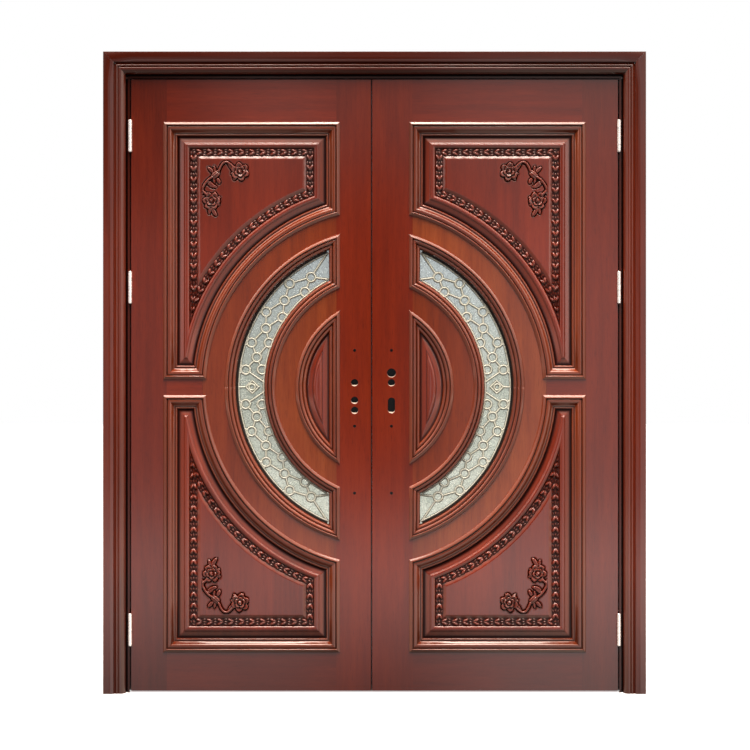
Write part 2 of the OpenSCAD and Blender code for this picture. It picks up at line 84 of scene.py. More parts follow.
def corner_e(u):
    x = CX + math.sqrt((RP + u) ** 2 - (MH + u) ** 2)
    return np.array([XO - u, ZC + MH + u]) if x < XO - u else tongue(u)


def corner_g(u):
    return np.array([XI + u, on_line(u, RG - u)])


def corner_h(u):
    return np.array([XI + u, on_line(u, RH + u)])


def corner_k(u):
    return np.array([XI + u, on_line(u, RC - u)])


def down(corner):
    def at(u):
        p = corner(u)
        return np.array([p[0], 2 * ZC - p[1]])
    return at


def line(p, q):
    def at(u, s):
        a, b = p(u), q(u)
        return a + (b - a) * s[:, None]
    return at


def arc(p, q, radius):
    def at(u, s):
        a, b = p(u) - CENTRE, q(u) - CENTRE
        t0, t1 = math.atan2(a[1], a[0]), math.atan2(b[1], b[0])
        t = t0 + (t1 - t0) * s
        return CENTRE + radius(u) * np.stack([np.cos(t), np.sin(t)], 1)
    return at


CORNER_LOOP = [line(corner_a, corner_b), line(corner_b, corner_c),
               arc(corner_c, corner_d, lambda u: RP + u),
               line(corner_d, corner_e), line(corner_e, corner_a)]
GLASS_LOOP = [line(corner_g, corner_h), arc(corner_h, down(corner_h), lambda u: RH + u),
              line(down(corner_h), down(corner_g)), arc(down(corner_g), corner_g, lambda u: RG - u)]
CENTRE_LOOP = [line(corner_k, down(corner_k)), arc(down(corner_k), corner_k, lambda u: RC - u)]


def place(p, side, lower=False, back=False):
    """(X, Z, h) in millimetres to the row frame in metres."""
    z = 2 * ZC - p[..., 1] if lower else p[..., 1]
    y = FACE + T + p[..., 2] if back else FACE - p[..., 2]
    return np.stack([side * p[..., 0], y, z], -1) * 0.001


def refine(points, corners, n):
    """A smooth run through the points, with the numbered ones kept as corners."""
    points = np.asarray(points, float)
    stops = sorted(set([0, len(points) - 1, *corners]))
    out = [points[0]]
    for a, b in zip(stops[:-1], stops[1:]):
        run = points[a:b + 1]
        if len(run) == 2:
            out.append(run[1])
            continue
        ext = np.vstack([2 * run[0] - run[1], run, 2 * run[-1] - run[-2]])
        for i in range(1, len(run)):
            p0, p1, p2, p3 = ext[i - 1:i + 3]
            for k in range(1, n + 1):
                t = k / n
                out.append(0.5 * (2 * p1 + (p2 - p0) * t + (2 * p0 - 5 * p1 + 4 * p2 - p3) * t * t
                                  + (3 * p1 - p0 - 3 * p2 + p3) * t ** 3))
    return np.array(out)


def make(name, co, faces, uv=None, floats=None, angle=38.0, flat=()):
    me = bpy.data.meshes.new(name)
    me.from_pydata(co.tolist(), [], faces)
    if uv is not None:
        layer = me.uv_layers.new(name="grain")
        layer.data.foreach_set("uv", np.asarray(uv, np.float32).ravel())
    for key, values in (floats or {}).items():
        att = me.attributes.new(key, "FLOAT", "POINT")
        att.data.foreach_set("value", np.asarray(values, np.float32))
    smooth = np.ones(len(me.polygons), bool)
    for i in flat:
        smooth[i] = False
    me.polygons.foreach_set("use_smooth", smooth)
    me.set_sharp_from_angle(angle=math.radians(angle))
    me.update()
    ob = bpy.data.objects.new(name, me)
    scene.collection.objects.link(ob)
    return ob


def join_up(ob, body, slot, *stands_for):
    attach(ob, body)
    if stands_for:
        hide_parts(*stands_for)
    return ob


# ---------------------------------------------------------------------------
# Materials

def tone(r, g, b):
    """A colour given as display values from 0 to 255."""
    def lin(v):
        v /= 255.0
        return v / 12.92 if v <= 0.04045 else ((v + 0.055) / 1.055) ** 2.4
    return (lin(r), lin(g), lin(b), 1.0)


class Finish:
    """A material with one principled shader and short ways to add nodes."""

    def __init__(self, name):
        self.mat = bpy.data.materials.new(name)
        self.mat.use_nodes = True
        self.tree = self.mat.node_tree
        self.tree.nodes.clear()
        out = self.add("ShaderNodeOutputMaterial")
        self.shader = self.add("ShaderNodeBsdfPrincipled")
        self.join(self.shader.outputs["BSDF"], out.inputs["Surface"])

    def add(self, kind, **props):
        n = self.tree.nodes.new(kind)
        for k, v in props.items():
            setattr(n, k, v)
        return n

    def join(self, a, b):
        self.tree.links.new(a, b)

    def feed(self, socket, value):
        if isinstance(value, bpy.types.NodeSocket):
            self.join(value, socket)
        else:
            socket.default_value = value

    def set(self, **values):
        for k, v in values.items():
            self.feed(self.shader.inputs[k.replace("_", " ")], v)

    def coords(self, kind):
        if kind == "UV":
            return self.add("ShaderNodeUVMap", uv_map="grain").outputs["UV"]
        return self.add("ShaderNodeTexCoord").outputs[kind]

    def mapped(self, vector, scale, offset=(0, 0, 0)):
        n = self.add("ShaderNodeMapping")
        self.join(vector, n.inputs["Vector"])
        n.inputs["Location"].default_value = offset
        n.inputs["Scale"].default_value = scale
        return n.outputs["Vector"]

    def noise(self, vector, scale, detail=3.0, rough=0.5, distortion=0.0):
        n = self.add("ShaderNodeTexNoise")
        self.join(vector, n.inputs["Vector"])
        n.inputs["Scale"].default_value = scale
        n.inputs["Detail"].default_value = detail
        n.inputs["Roughness"].default_value = rough
        n.inputs["Distortion"].default_value = distortion
        return n.outputs["Fac"]

    def math(self, op, a, b=0.0, clamp=False):
        n = self.add("ShaderNodeMath", operation=op, use_clamp=clamp)
        self.feed(n.inputs[0], a)
        self.feed(n.inputs[1], b)
        return n.outputs[0]

    def span(self, value, a, b, c=0.0, d=1.0, smooth=False):
        n = self.add("ShaderNodeMapRange", interpolation_type="SMOOTHSTEP" if smooth else "LINEAR")
        self.join(value, n.inputs["Value"])
        for key, v in (("From Min", a), ("From Max", b), ("To Min", c), ("To Max", d)):
            n.inputs[key].default_value = v
        return n.outputs["Result"]

    def ramp(self, value, stops):
        n = self.add("ShaderNodeValToRGB")
        self.join(value, n.inputs["Fac"])
        e = n.color_ramp.elements
        e[0].position, e[0].color = stops[0]
        e[1].position, e[1].color = stops[-1]
        for pos, col in stops[1:-1]:
            x = e.new(pos)
            x.color = col
        return n.outputs["Color"]

    def mix(self, factor, a, b, kind="MIX"):
        n = self.add("ShaderNodeMix", data_type="RGBA", blend_type=kind)
        self.feed(n.inputs[0], factor)
        self.feed(n.inputs[6], a)
        self.feed(n.inputs[7], b)
        return n.outputs[2]

    def bump(self, height, strength, distance, normal=None):
        n = self.add("ShaderNodeBump")
        self.join(height, n.inputs["Height"])
        n.inputs["Strength"].default_value = strength
        n.inputs["Distance"].default_value = distance
        if normal is not None:
            self.join(normal, n.inputs["Normal"])
        return n.outputs["Normal"]


MAHOGANY = dict(dark=tone(106, 29, 9), mid=tone(143, 43, 14), light=tone(168, 56, 21))
# a darker copy of the frame tones for the head casing: painted shade, as the head gets less light
SHADED_HEAD_TONES = dict(dark=tone(74, 23, 9), mid=tone(106, 35, 14), light=tone(128, 46, 20))
LOCK_TONES = dict(dark=tone(108, 28, 5), mid=tone(146, 42, 7), light=tone(170, 54, 12))
CURVE_TONES = dict(dark=tone(116, 41, 12), mid=tone(154, 61, 19), light=tone(178, 78, 28))
# a lighter copy of the curve tones for the curved rails on the brighter side of each leaf: painted light
PAINTED_LIT_CURVE_TONES = dict(dark=tone(127, 50, 20), mid=tone(167, 75, 31), light=tone(191, 96, 45))
FRAME_TONES = dict(dark=tone(88, 28, 10), mid=tone(124, 42, 16), light=tone(147, 54, 23))


def deeper(tones, k):
    return {key: (c[0] * k, c[1] * k, c[2] * k, 1.0) for key, c in tones.items()}


def wood(name, along, tones, offset=(0, 0, 0), dark_finish_and_shade=False, bores=False, groove=None, rough=(0.27, 0.40), coat=1.0):
    f = Finish(name)
    squeeze = 0.075
    if along == "UV":
        base = f.coords("UV")
        scale, fine = (squeeze, 1, 1), (0.035, 1, 1)
    else:
        base = f.coords("Object")
        scale, fine = {"Z": ((1, 1, squeeze), (1, 1, 0.035)), "X": ((squeeze, 1, 1), (0.035, 1, 1))}[along]
    v = f.mapped(base, scale, offset)
    w = f.mapped(base, fine, offset)
    figure = f.noise(v, 8.0, 3.0, 0.55, 0.7)
    streak = f.noise(v, 62.0, 3.0, 0.6, 0.3)
    fibre = f.noise(w, 420.0, 2.0, 0.6)
    pore = f.span(f.noise(w, 900.0, 1.0, 0.5), 0.60, 0.72, 0.0, 1.0, True)
    body = f.math("ADD", f.math("MULTIPLY", figure, 0.56), f.math("MULTIPLY", streak, 0.30))
    body = f.math("ADD", body, f.math("MULTIPLY", fibre, 0.14))
    colour = f.ramp(body, [(0.30, tones["dark"]), (0.50, tones["mid"]), (0.70, tones["light"])])
    mottle = f.noise(f.mapped(f.coords("Object"), (1, 1, 0.6), offset), 3.1, 2.0, 0.5)
    colour = f.mix(f.span(mottle, 0.34, 0.68, 0.0, 0.42), colour, tone(116, 30, 7), "MIX")
    colour = f.mix(f.math("MULTIPLY", pore, 0.34), colour, tone(38, 12, 8), "MIX")
    # painted shade: the colour darkens towards the foot and towards the head, where less light falls
    tall = f.add("ShaderNodeSeparateXYZ")
    f.join(f.coords("Object"), tall.inputs[0])
    foot = f.span(tall.outputs["Z"], 0.42, 0.0, 0.0, 0.58)
    crown = f.span(tall.outputs["Z"], 1.5, 2.1, 0.0, 0.50)
    colour = f.mix(f.math("MAXIMUM", foot, crown), colour, tone(26, 8, 4), "MIX")
    shine = f.span(streak, 0.3, 0.7, *rough)
    if dark_finish_and_shade:
        # dark glazing with painted shade in quirks, hollows and grooves; the coat thins there so the shaded grooves
        # give no reflection
        dark = f.add("ShaderNodeAttribute", attribute_name="dark_finish_and_shade").outputs["Fac"]
        colour = f.mix(dark, colour, tone(20, 7, 6), "MIX")
        coat = f.span(dark, 0.3, 0.9, 1.0, 0.15)
    if bores:
        # raw timber where the lock holes cut through the lacquer, with painted shade that deepens to near black towards
        # the bottom of each hole
        tc = f.add("ShaderNodeTexCoord")
        nx = f.add("ShaderNodeSeparateXYZ")
        f.join(tc.outputs["Normal"], nx.inputs[0])
        px = f.add("ShaderNodeSeparateXYZ")
        f.join(tc.outputs["Object"], px.inputs[0])
        across = f.math("ABSOLUTE", px.outputs["X"])
        inside = f.math("MULTIPLY", f.span(across, 0.0385, 0.0395), f.span(across, 0.0835, 0.0845, 1.0, 0.0))
        inside = f.math("MULTIPLY", inside, f.span(px.outputs["Y"], -0.0466, -0.0462))
        inside = f.math("MULTIPLY", inside, f.span(px.outputs["Y"], -0.0066, -0.0062, 1.0, 0.0))
        depth = f.span(px.outputs["Y"], -0.045, -0.033)
        raw = f.ramp(depth, [(0.0, tone(196, 160, 138)), (0.45, tone(112, 82, 68)), (1.0, tone(16, 8, 7))])
        colour = f.mix(inside, colour, raw, "MIX")
        # painted shade on the edges along the meeting line, where the gap between the leaves lies in shadow; the coat
        # is left off there
        middle = 0.5 * (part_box("left_lock_stile")[1][0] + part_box("right_lock_stile")[0][0])
        half = 0.5 * (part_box("right_lock_stile")[0][0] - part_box("left_lock_stile")[1][0])
        off = f.math("ABSOLUTE", f.math("SUBTRACT", px.outputs["X"], middle))
        gap_shade = f.span(off, half + 0.0006, half + 0.0024, 0.85, 0.0)
        colour = f.mix(gap_shade, colour, tone(22, 8, 6), "MIX")
        coat = f.math("SUBTRACT", 1.0, gap_shade)
        shine = f.math("MAXIMUM", shine, f.math("MULTIPLY", inside, 0.8))
    if groove:
        # painted shade in the groove beside the casing, and lighter painted shade on the strip of jamb between it and
        # the leaf; the coat is left off there
        axis, low, high = groove
        px = f.add("ShaderNodeSeparateXYZ")
        f.join(f.coords("Object"), px.inputs[0])
        place_in = f.math("ABSOLUTE", px.outputs[axis])
        inside = f.math("MULTIPLY", f.span(place_in, low - 0.0004, low), f.span(place_in, high, high + 0.0004, 1.0, 0.0))
        inside = f.math("MULTIPLY", inside, f.span(px.outputs["Y"], -0.0468, -0.0455, 0.0, 0.93))
        inside = f.math("MULTIPLY", inside, f.span(px.outputs["Y"], -0.0396, -0.0390, 1.0, 0.0))
        strip = f.math("MULTIPLY", f.span(place_in, low - 0.0128, low - 0.0116), f.span(place_in, low - 0.0004, low, 1.0, 0.0))
        strip = f.math("MULTIPLY", strip, f.span(px.outputs["Y"], -0.0466, -0.0460, 0.55, 0.0))
        inside = f.math("MAXIMUM", inside, strip)
        colour = f.mix(inside, colour, tone(16, 6, 5), "MIX")
        coat = f.math("SUBTRACT", 1.0, inside)
    peel = f.noise(f.coords("Object"), 190.0, 2.0, 0.5)
    height = f.math("ADD", f.math("MULTIPLY", f.math("SUBTRACT", 1.0, pore), 0.6), f.math("MULTIPLY", fibre, 0.4))
    normal = f.bump(peel, 0.05, 0.002, f.bump(height, 0.10, 0.0004))
    f.set(Base_Color=colour, Roughness=shine, Normal=normal)
    f.set(IOR=1.5, Specular_IOR_Level=0.0, Coat_Weight=coat, Coat_Roughness=0.13, Coat_IOR=1.5)
    return f.mat


def glass(name, offset):
    f = Finish(name)
    p = f.coords("Object")
    swirl = f.noise(f.mapped(p, (1, 1, 1), offset), 55.0, 3.0, 0.6, 1.4)
    hammer = f.add("ShaderNodeTexVoronoi", feature="SMOOTH_F1")
    f.join(p, hammer.inputs["Vector"])
    hammer.inputs["Scale"].default_value = 150.0
    hammer.inputs["Smoothness"].default_value = 0.6
    shade = f.noise(f.mapped(p, (1, 1, 1), offset), 17.0, 2.0, 0.5)
    colour = f.ramp(shade, [(0.30, tone(176, 185, 176)), (0.5, tone(193, 200, 190)), (0.72, tone(207, 214, 206))])
    height_at = f.add("ShaderNodeSeparateXYZ")
    f.join(p, height_at.inputs[0])
    cool = f.span(height_at.outputs["Z"], 1.05, 1.42, 0.0, 0.75)
    colour = f.mix(cool, colour, tone(214, 226, 234), "MIX")
    colour = f.mix(f.span(swirl, 0.35, 0.75, 0.0, 0.3), colour, tone(170, 182, 172), "MIX")
    height = f.math("ADD", f.math("MULTIPLY", swirl, 0.7), hammer.outputs["Distance"])
    f.set(Base_Color=colour, Roughness=f.span(swirl, 0.3, 0.7, 0.2, 0.36), Normal=f.bump(height, 0.18, 0.004))
    f.set(IOR=1.45, Transmission_Weight=0.82)
    return f.mat


def came_metal(name):
    f = Finish(name)
    p = f.coords("Object")
    patina = f.noise(p, 60.0, 3.0, 0.6, 0.5)
    speck = f.noise(p, 640.0, 2.0, 0.6)
    colour = f.ramp(patina, [(0.28, tone(228, 231, 210)), (0.5, tone(246, 248, 232)), (0.75, tone(252, 253, 244))])
    colour = f.mix(f.span(speck, 0.55, 0.75, 0.0, 0.3), colour, tone(150, 150, 128), "MIX")
    # painted shade: the skirts beside the lines are darkened, a dark flange colour with shade
    skirt = f.add("ShaderNodeAttribute", attribute_name="dark_finish_and_shade").outputs["Fac"]
    colour = f.mix(f.math("MULTIPLY", skirt, 0.9), colour, tone(88, 90, 78), "MIX")
    f.set(Base_Color=colour, Roughness=f.span(patina, 0.3, 0.7, 0.34, 0.52), Normal=f.bump(speck, 0.2, 0.0006))
    return f.mat


def chrome(name):
    f = Finish(name)
    p = f.coords("Object")
    brush = f.noise(f.mapped(p, (1, 1, 0.05)), 1500.0, 2.0, 0.6)
    smear = f.noise(p, 70.0, 3.0, 0.55, 0.4)
    colour = f.ramp(smear, [(0.3, tone(226, 226, 228)), (0.7, tone(248, 248, 248))])
    f.set(Base_Color=colour, Roughness=f.span(smear, 0.3, 0.7, 0.20, 0.36), Normal=f.bump(brush, 0.06, 0.0003))
    f.set(Metallic=0.8)
    return f.mat


def raw_timber(name):
    f = Finish(name)
    p = f.coords("Object")
    fibre = f.noise(f.mapped(p, (1, 1, 0.06)), 900.0, 3.0, 0.6)
    f.set(Base_Color=f.ramp(fibre, [(0.3, tone(214, 180, 160)), (0.7, tone(246, 224, 208))]),
          Roughness=f.span(fibre, 0.3, 0.7, 0.6, 0.8), Normal=f.bump(fibre, 0.3, 0.0004))
    return f.mat


def rubber(name):
    f = Finish(name)
    p = f.coords("Object")
    dust = f.noise(f.mapped(p, (1, 1, 0.2)), 240.0, 3.0, 0.6)
    f.set(Base_Color=f.ramp(dust, [(0.35, tone(14, 11, 11)), (0.75, tone(34, 29, 28))]),
          Roughness=f.span(dust, 0.3, 0.7, 0.55, 0.75), Normal=f.bump(dust, 0.25, 0.0005))
    f.set(Specular_IOR_Level=0.2)
    return f.mat


# ---------------------------------------------------------------------------
# Mouldings

CROWN = [[0, 0], [0, 1.8], [1.2, 3.6], [3.3, 5.3], [5.6, 6.9], [7.8, 8.1], [9.6, 8.5], [11.4, 7.2], [12.3, 4.6],
         [13.8, 4.6], [14.8, 5.7], [17.2, 6.1], [20.2, 5.1], [22.8, 2.9], [24.4, 0.5], [24.9, -0.9],
         [26.4, -0.9], [27.4, 0], [29.8, 0.2], [32.6, -0.8], [34.9, -3], [36.2, -5.8], [37, -7.5]]


WIDE_CROWN = [[0, 0], [0, 1.8], [1.2, 3.5], [3.4, 5.2], [5.8, 6.8], [8.1, 8.0], [9.8, 8.4], [11.4, 7.4], [12.5, 5.2], [13.2, 3.2],
              [14.6, 3.2], [15.8, 4.3], [18.5, 5.1], [22, 5.1], [25, 4.3], [27.6, 2.5], [30.2, -0.5], [32.8, -3.2], [35.6, -5.2], [37.6, -5.9],
              [39.2, -5.9], [40.2, -5.0], [42, -4.6], [44, -5.4], [45.8, -7.4], [47, -9.0]]


def crown_section(floor, wide):
    """The moulding's outline, how many of its points show, and its darkening: dark glazing with painted shade in its
    quirks, at its foot and along its outer edge.
    """
    if wide > 40:
        top, quirks = refine(WIDE_CROWN, [1, 9, 10, 19, 20], 3), (13.9, 38.4)
    else:
        top, quirks = refine(CROWN, [1, 8, 9, 15, 16], 3), (13.0, 25.6)
    section = np.vstack([top, [[wide, floor], [12.3, floor], [12.3, 0]]])
    u, h = section[:, 0], section[:, 1]
    # painted shade with dark glazing: darkest in the quirks, then at the foot and along the outer edge
    darkening_with_shade = np.max([0.92 * np.exp(-((u - q) / 1.7) ** 2) for q in quirks], axis=0)
    darkening_with_shade = np.maximum(darkening_with_shade, 0.7 * np.clip((u - wide + 2.5) / 2.5, 0, 1))
    darkening_with_shade = np.maximum(darkening_with_shade, 0.55 * (u < 0.01) * (h < 1))
    return section, len(top), darkening_with_shade


def moulding(name, edges, floor, wide, side, lower=False, back=False, joints=(), grain=0.0):
    section, shown, darkening_with_shade = crown_section(floor, wide)
    us, hs = section[:, 0], section[:, 1]
    m = len(section)
    grid, u0, u1 = [], [], []
    for e, at in enumerate(edges):
        mid = at(18.0, np.linspace(0, 1, 65))
        length = np.linalg.norm(np.diff(mid, axis=0), axis=1).sum()
        turned = abs(np.cross(mid[32] - mid[0], mid[64] - mid[0])) > 1.0
        steps = max(3, int(length / (11.0 if turned else 120.0)))
        eps = 0.5 / length
        s = list(np.linspace(0, 1, steps + 1)[1:-1])
        cuts = [0.0] + [j for k, j in joints if k == e]
        for c in cuts:
            s += [c, c + eps] + ([c - eps] if c else [])
        s = np.array(sorted(s + [1 - eps]))
        rows = np.zeros((len(s), m, 3))
        for j in range(m):
            rows[:, j, :2] = at(us[j], s)
            rows[:, j, 2] = hs[j]
        for c in cuts:
            k = int(np.argmin(abs(s - c)))
            rows[k, 1:shown - 1, 2] -= 0.45
        grid.append(rows)
        along = s * length * 0.001 + grain + e * 1.37
        u0.append(along)
        u1.append(np.append(along[1:], length * 0.001 + grain + e * 1.37))
    grid, u0, u1 = np.concatenate(grid), np.concatenate(u0), np.concatenate(u1)
    across = np.concatenate([[0], np.cumsum(np.linalg.norm(np.diff(np.vstack([section, section[:1]]), axis=0), axis=1))]) * 0.001
    n = len(grid)
    idx = np.arange(n * m).reshape(n, m)
    nxt = np.roll(idx, -1, 0)
    quads = np.stack([idx, nxt, np.roll(nxt, -1, 1), np.roll(idx, -1, 1)], -1).reshape(-1, 4)
    ua, ub = np.repeat(u0, m), np.repeat(u1, m)
    va, vb = np.tile(across[:-1], n), np.tile(across[1:], n)
    uv = np.stack([np.stack([ua, va], -1), np.stack([ub, va], -1), np.stack([ub, vb], -1), np.stack([ua, vb], -1)], 1)
    if (side < 0) ^ lower ^ back:
        quads, uv = quads[:, ::-1], uv[:, ::-1]
    return make(name, place(grid.reshape(-1, 3), side, lower, back), quads.tolist(), uv, {"dark_finish_and_shade": np.tile(darkening_with_shade, n)})


# ---------------------------------------------------------------------------
# Casing boards

CASING = [[0, 0], [0, 24.5], [0.5, 25.6], [1.5, 26], [33, 26], [34.2, 25.3], [34.8, 23.5], [35.5, 20.2], [36.5, 19.0], [38, 19.4],
          [41, 21], [44.5, 23], [47, 22.6], [48.3, 21], [49.2, 19.4], [50.2, 20.3], [52.5, 22], [55.5, 22.6],
          [58.5, 22.3], [61.5, 21.0], [65, 18.4], [68, 15.1], [71, 10.9], [72, 9], [72, 0]]


def casing(name, kind):
    section = np.vstack([refine(CASING[:-1], [1, 3, 4, 8, 14], 3), CASING[-1:]])
    m = len(section)
    us, hs = section[:, 0], section[:, 1]
    if kind == "head":
        start = np.stack([HALF - us, TOP - us, hs], 1)
        end = np.stack([-(HALF - us), TOP - us, hs], 1)
    else:
        start = np.stack([HALF - us, 0 * us, hs], 1)
        end = np.stack([HALF - us, TOP - us, hs], 1)
    steps = 24
    s = np.linspace(0, 1, steps + 1)
    grid = start[None] + (end - start)[None] * s[:, None, None]
    # the ends draw in by a hair, so the mitres show as fine joints
    for row, to in ((0, 1), (steps, steps - 1)):
        if kind == "head" or row:
            d = grid[to] - grid[row]
            grid[row] += 0.25 * d / np.linalg.norm(d, axis=1)[:, None]
    length = np.linalg.norm((end - start)[0])
    along = s * length * 0.001 + {"left": 0.0, "right": 3.1, "head": 6.4}[kind]
    across = np.concatenate([[0], np.cumsum(np.linalg.norm(np.diff(np.vstack([section, section[:1]]), axis=0), axis=1))]) * 0.001
    idx = np.arange((steps + 1) * m).reshape(steps + 1, m)
    a, b = idx[:-1], idx[1:]
    quads = np.stack([a, b, np.roll(b, -1, 1), np.roll(a, -1, 1)], -1).reshape(-1, 4)
    ua, ub = np.repeat(along[:-1], m), np.repeat(along[1:], m)
    va, vb = np.tile(across[:-1], steps), np.tile(across[1:], steps)
    uv = np.stack([np.stack([ua, va], -1), np.stack([ub, va], -1), np.stack([ub, vb], -1), np.stack([ua, vb], -1)], 1)
    side = -1 if kind == "left" else 1
    caps = [idx[0].tolist(), idx[-1][::-1].tolist()]
    cap_uv = [np.stack([hs, us], 1) * 0.001 + [along[0], 0], (np.stack([hs, us], 1) * 0.001 + [along[-1], 0])[::-1]]
    if side < 0:
        quads, uv = quads[:, ::-1], uv[:, ::-1]
        caps = [c[::-1] for c in caps]
        cap_uv = [c[::-1] for c in cap_uv]
    faces = quads.tolist() + caps
    uv = np.vstack([uv.reshape(-1, 2), *cap_uv])
    return make(name, place(grid.reshape(-1, 3), side), faces, uv)


# ---------------------------------------------------------------------------
# Carved panels

FIELD, FLOOR = -0.6, -5.8
BORDER = 100.5


def step(x):
    x = np.clip(x, 0, 1)
    return x * x * (3 - 2 * x)


def oval(a, b, ca, cb, ra, rb, turn):
    """Squared distance from an oval's middle, 1 at its edge."""
    c, s = math.cos(turn), math.sin(turn)
    p, q = (a - ca) * c + (b - cb) * s, -(a - ca) * s + (b - cb) * c
    return (p / ra) ** 2 + (q / rb) ** 2


def heart_chain(c, v, pitch, tip):
    """Height over the channel floor of the running two-lobed leaves."""
    k = np.floor(c / pitch)
    a = (c - (k + 0.5) * pitch) * tip
    h = np.zeros_like(a)
    for sign in (-1, 1):
        d = oval(a, v, 0.3, sign * 5.0, 10.2, 4.9, -sign * 0.50)
        h = np.maximum(h, np.sqrt(np.clip(1 - d, 0, 1)) * 6.2)
        # small scrolls in the gaps, against both walls of the channel
        for end in (-0.5, 0.5):
            d = oval(a, v, end * pitch + 1.0, sign * 8.6, 5.0, 2.6, sign * 0.35)
            h = np.maximum(h, np.sqrt(np.clip(1 - d, 0, 1)) * 2.8)
    for end in (-0.5, 0.5):
        d = oval(a, v, end * pitch + 1.5, 0.0, 4.2, 2.9, 0.0)
        h = np.maximum(h, np.sqrt(np.clip(1 - d, 0, 1)) * 3.0)
    return h


def soften(a, n):
    k = np.ones(2 * n + 1) / (2 * n + 1)
    for axis in (0, 1):
        a = np.apply_along_axis(lambda r: np.convolve(np.pad(r, n, mode="edge"), k, "valid"), axis, a)
    return a


def petal(h, x, z, cx, cz, turn, far, long, wide, low, high, lift=0.0):
    """A cupped petal that rises outwards and rolls over at its rim."""
    dx, dz = math.cos(turn), math.sin(turn)
    p = (x - cx) * dx + (z - cz) * dz - far
    q = -(x - cx) * dz + (z - cz) * dx
    pn, qn = p / long, q / wide
    d = np.sqrt(pn ** 2 + qn ** 2)
    cup = low + (high - low) * np.clip(0.5 + 0.5 * pn, 0, 1) ** 2.2 + 1.1 * qn ** 2 + lift
    edge = np.sqrt(np.clip(1 - np.clip(d, 0, 1) ** 7, 0, 1))
    notch = 0.7 * np.exp(-(q / (0.10 * wide + 0.5)) ** 2) * np.clip(pn, 0, 1)
    return np.where(d < 1, np.maximum(h, (cup - notch) * edge), h)


def rose(h, x, z, cx, cz, r, turn):
    for k in range(6):
        h = petal(h, x, z, cx, cz, turn + k * math.pi / 3, 0.60 * r, 0.42 * r, 0.36 * r, 0.4, 7.6, 0.9 * (k % 2))
    for k in range(5):
        h = petal(h, x, z, cx, cz, turn + 0.5 + k * 2 * math.pi / 5, 0.33 * r, 0.29 * r, 0.29 * r, 2.2, 10.0, 0.8 * (k % 2))
    d = np.hypot(x - cx, z - cz)
    a = np.arctan2(z - cz, x - cx)
    swirl = 0.5 + 0.5 * np.cos(a - turn - d / (0.045 * r))
    bud = 10.4 - 3.4 * swirl * np.clip(d / (0.1 * r), 0, 1) - 1.6 * (d / (0.24 * r)) ** 2
    return np.where(d < 0.24 * r, np.maximum(h, bud), h)


def leaf(h, x, z, base, tip, wide, high, bend=0.0):
    bx, bz = base
    lx, lz = tip[0] - bx, tip[1] - bz
    length = math.hypot(lx, lz)
    dx, dz = lx / length, lz / length
    t = ((x - bx) * dx + (z - bz) * dz) / length
    q = -(x - bx) * dz + (z - bz) * dx - bend * np.sin(np.pi * np.clip(t, 0, 1))
    tc = np.clip(t, 1e-4, 1 - 1e-4)
    half = wide * 1.75 * tc ** 0.62 * (1 - tc) ** 0.72
    inside = (t > 0) & (t < 1) & (abs(q) < half)
    n = np.clip(abs(q) / half, 0, 1)
    top = high * (0.35 + 0.65 * np.sqrt(np.clip(1 - n ** 2, 0, 1))) * np.clip(np.minimum(t * 7, (1 - t) * 5), 0.25, 1)
    top = top * np.sqrt(np.clip(1 - n ** 8, 0, 1))
    vein = 1.3 * np.exp(-(q / 0.95) ** 2) * np.clip(4 * (1 - t), 0, 1)
    ribs = 0.45 * (0.5 + 0.5 * np.cos(2 * np.pi * (t * length / 5.5 - abs(q) / 6.5))) * np.clip(n * 2, 0, 1)
    return np.where(inside, np.maximum(h, top - vein - ribs), h)


def stem(h, x, z, points, radius, high):
    pts = refine(points, [], 8)
    best = np.full(x.shape, 1e9)
    for a, b in zip(pts[:-1], pts[1:]):
        e = b - a
        t = np.clip(((x - a[0]) * e[0] + (z - a[1]) * e[1]) / (e @ e + 1e-9), 0, 1)
        best = np.minimum(best, np.hypot(x - a[0] - t * e[0], z - a[1] - t * e[1]))
    top = high * np.sqrt(np.clip(1 - (best / radius) ** 2, 0, 1))
    return np.where(best < radius, np.maximum(h, top), h)


WINDOW = (415.0, 578.0, 1580.0, 1774.5)


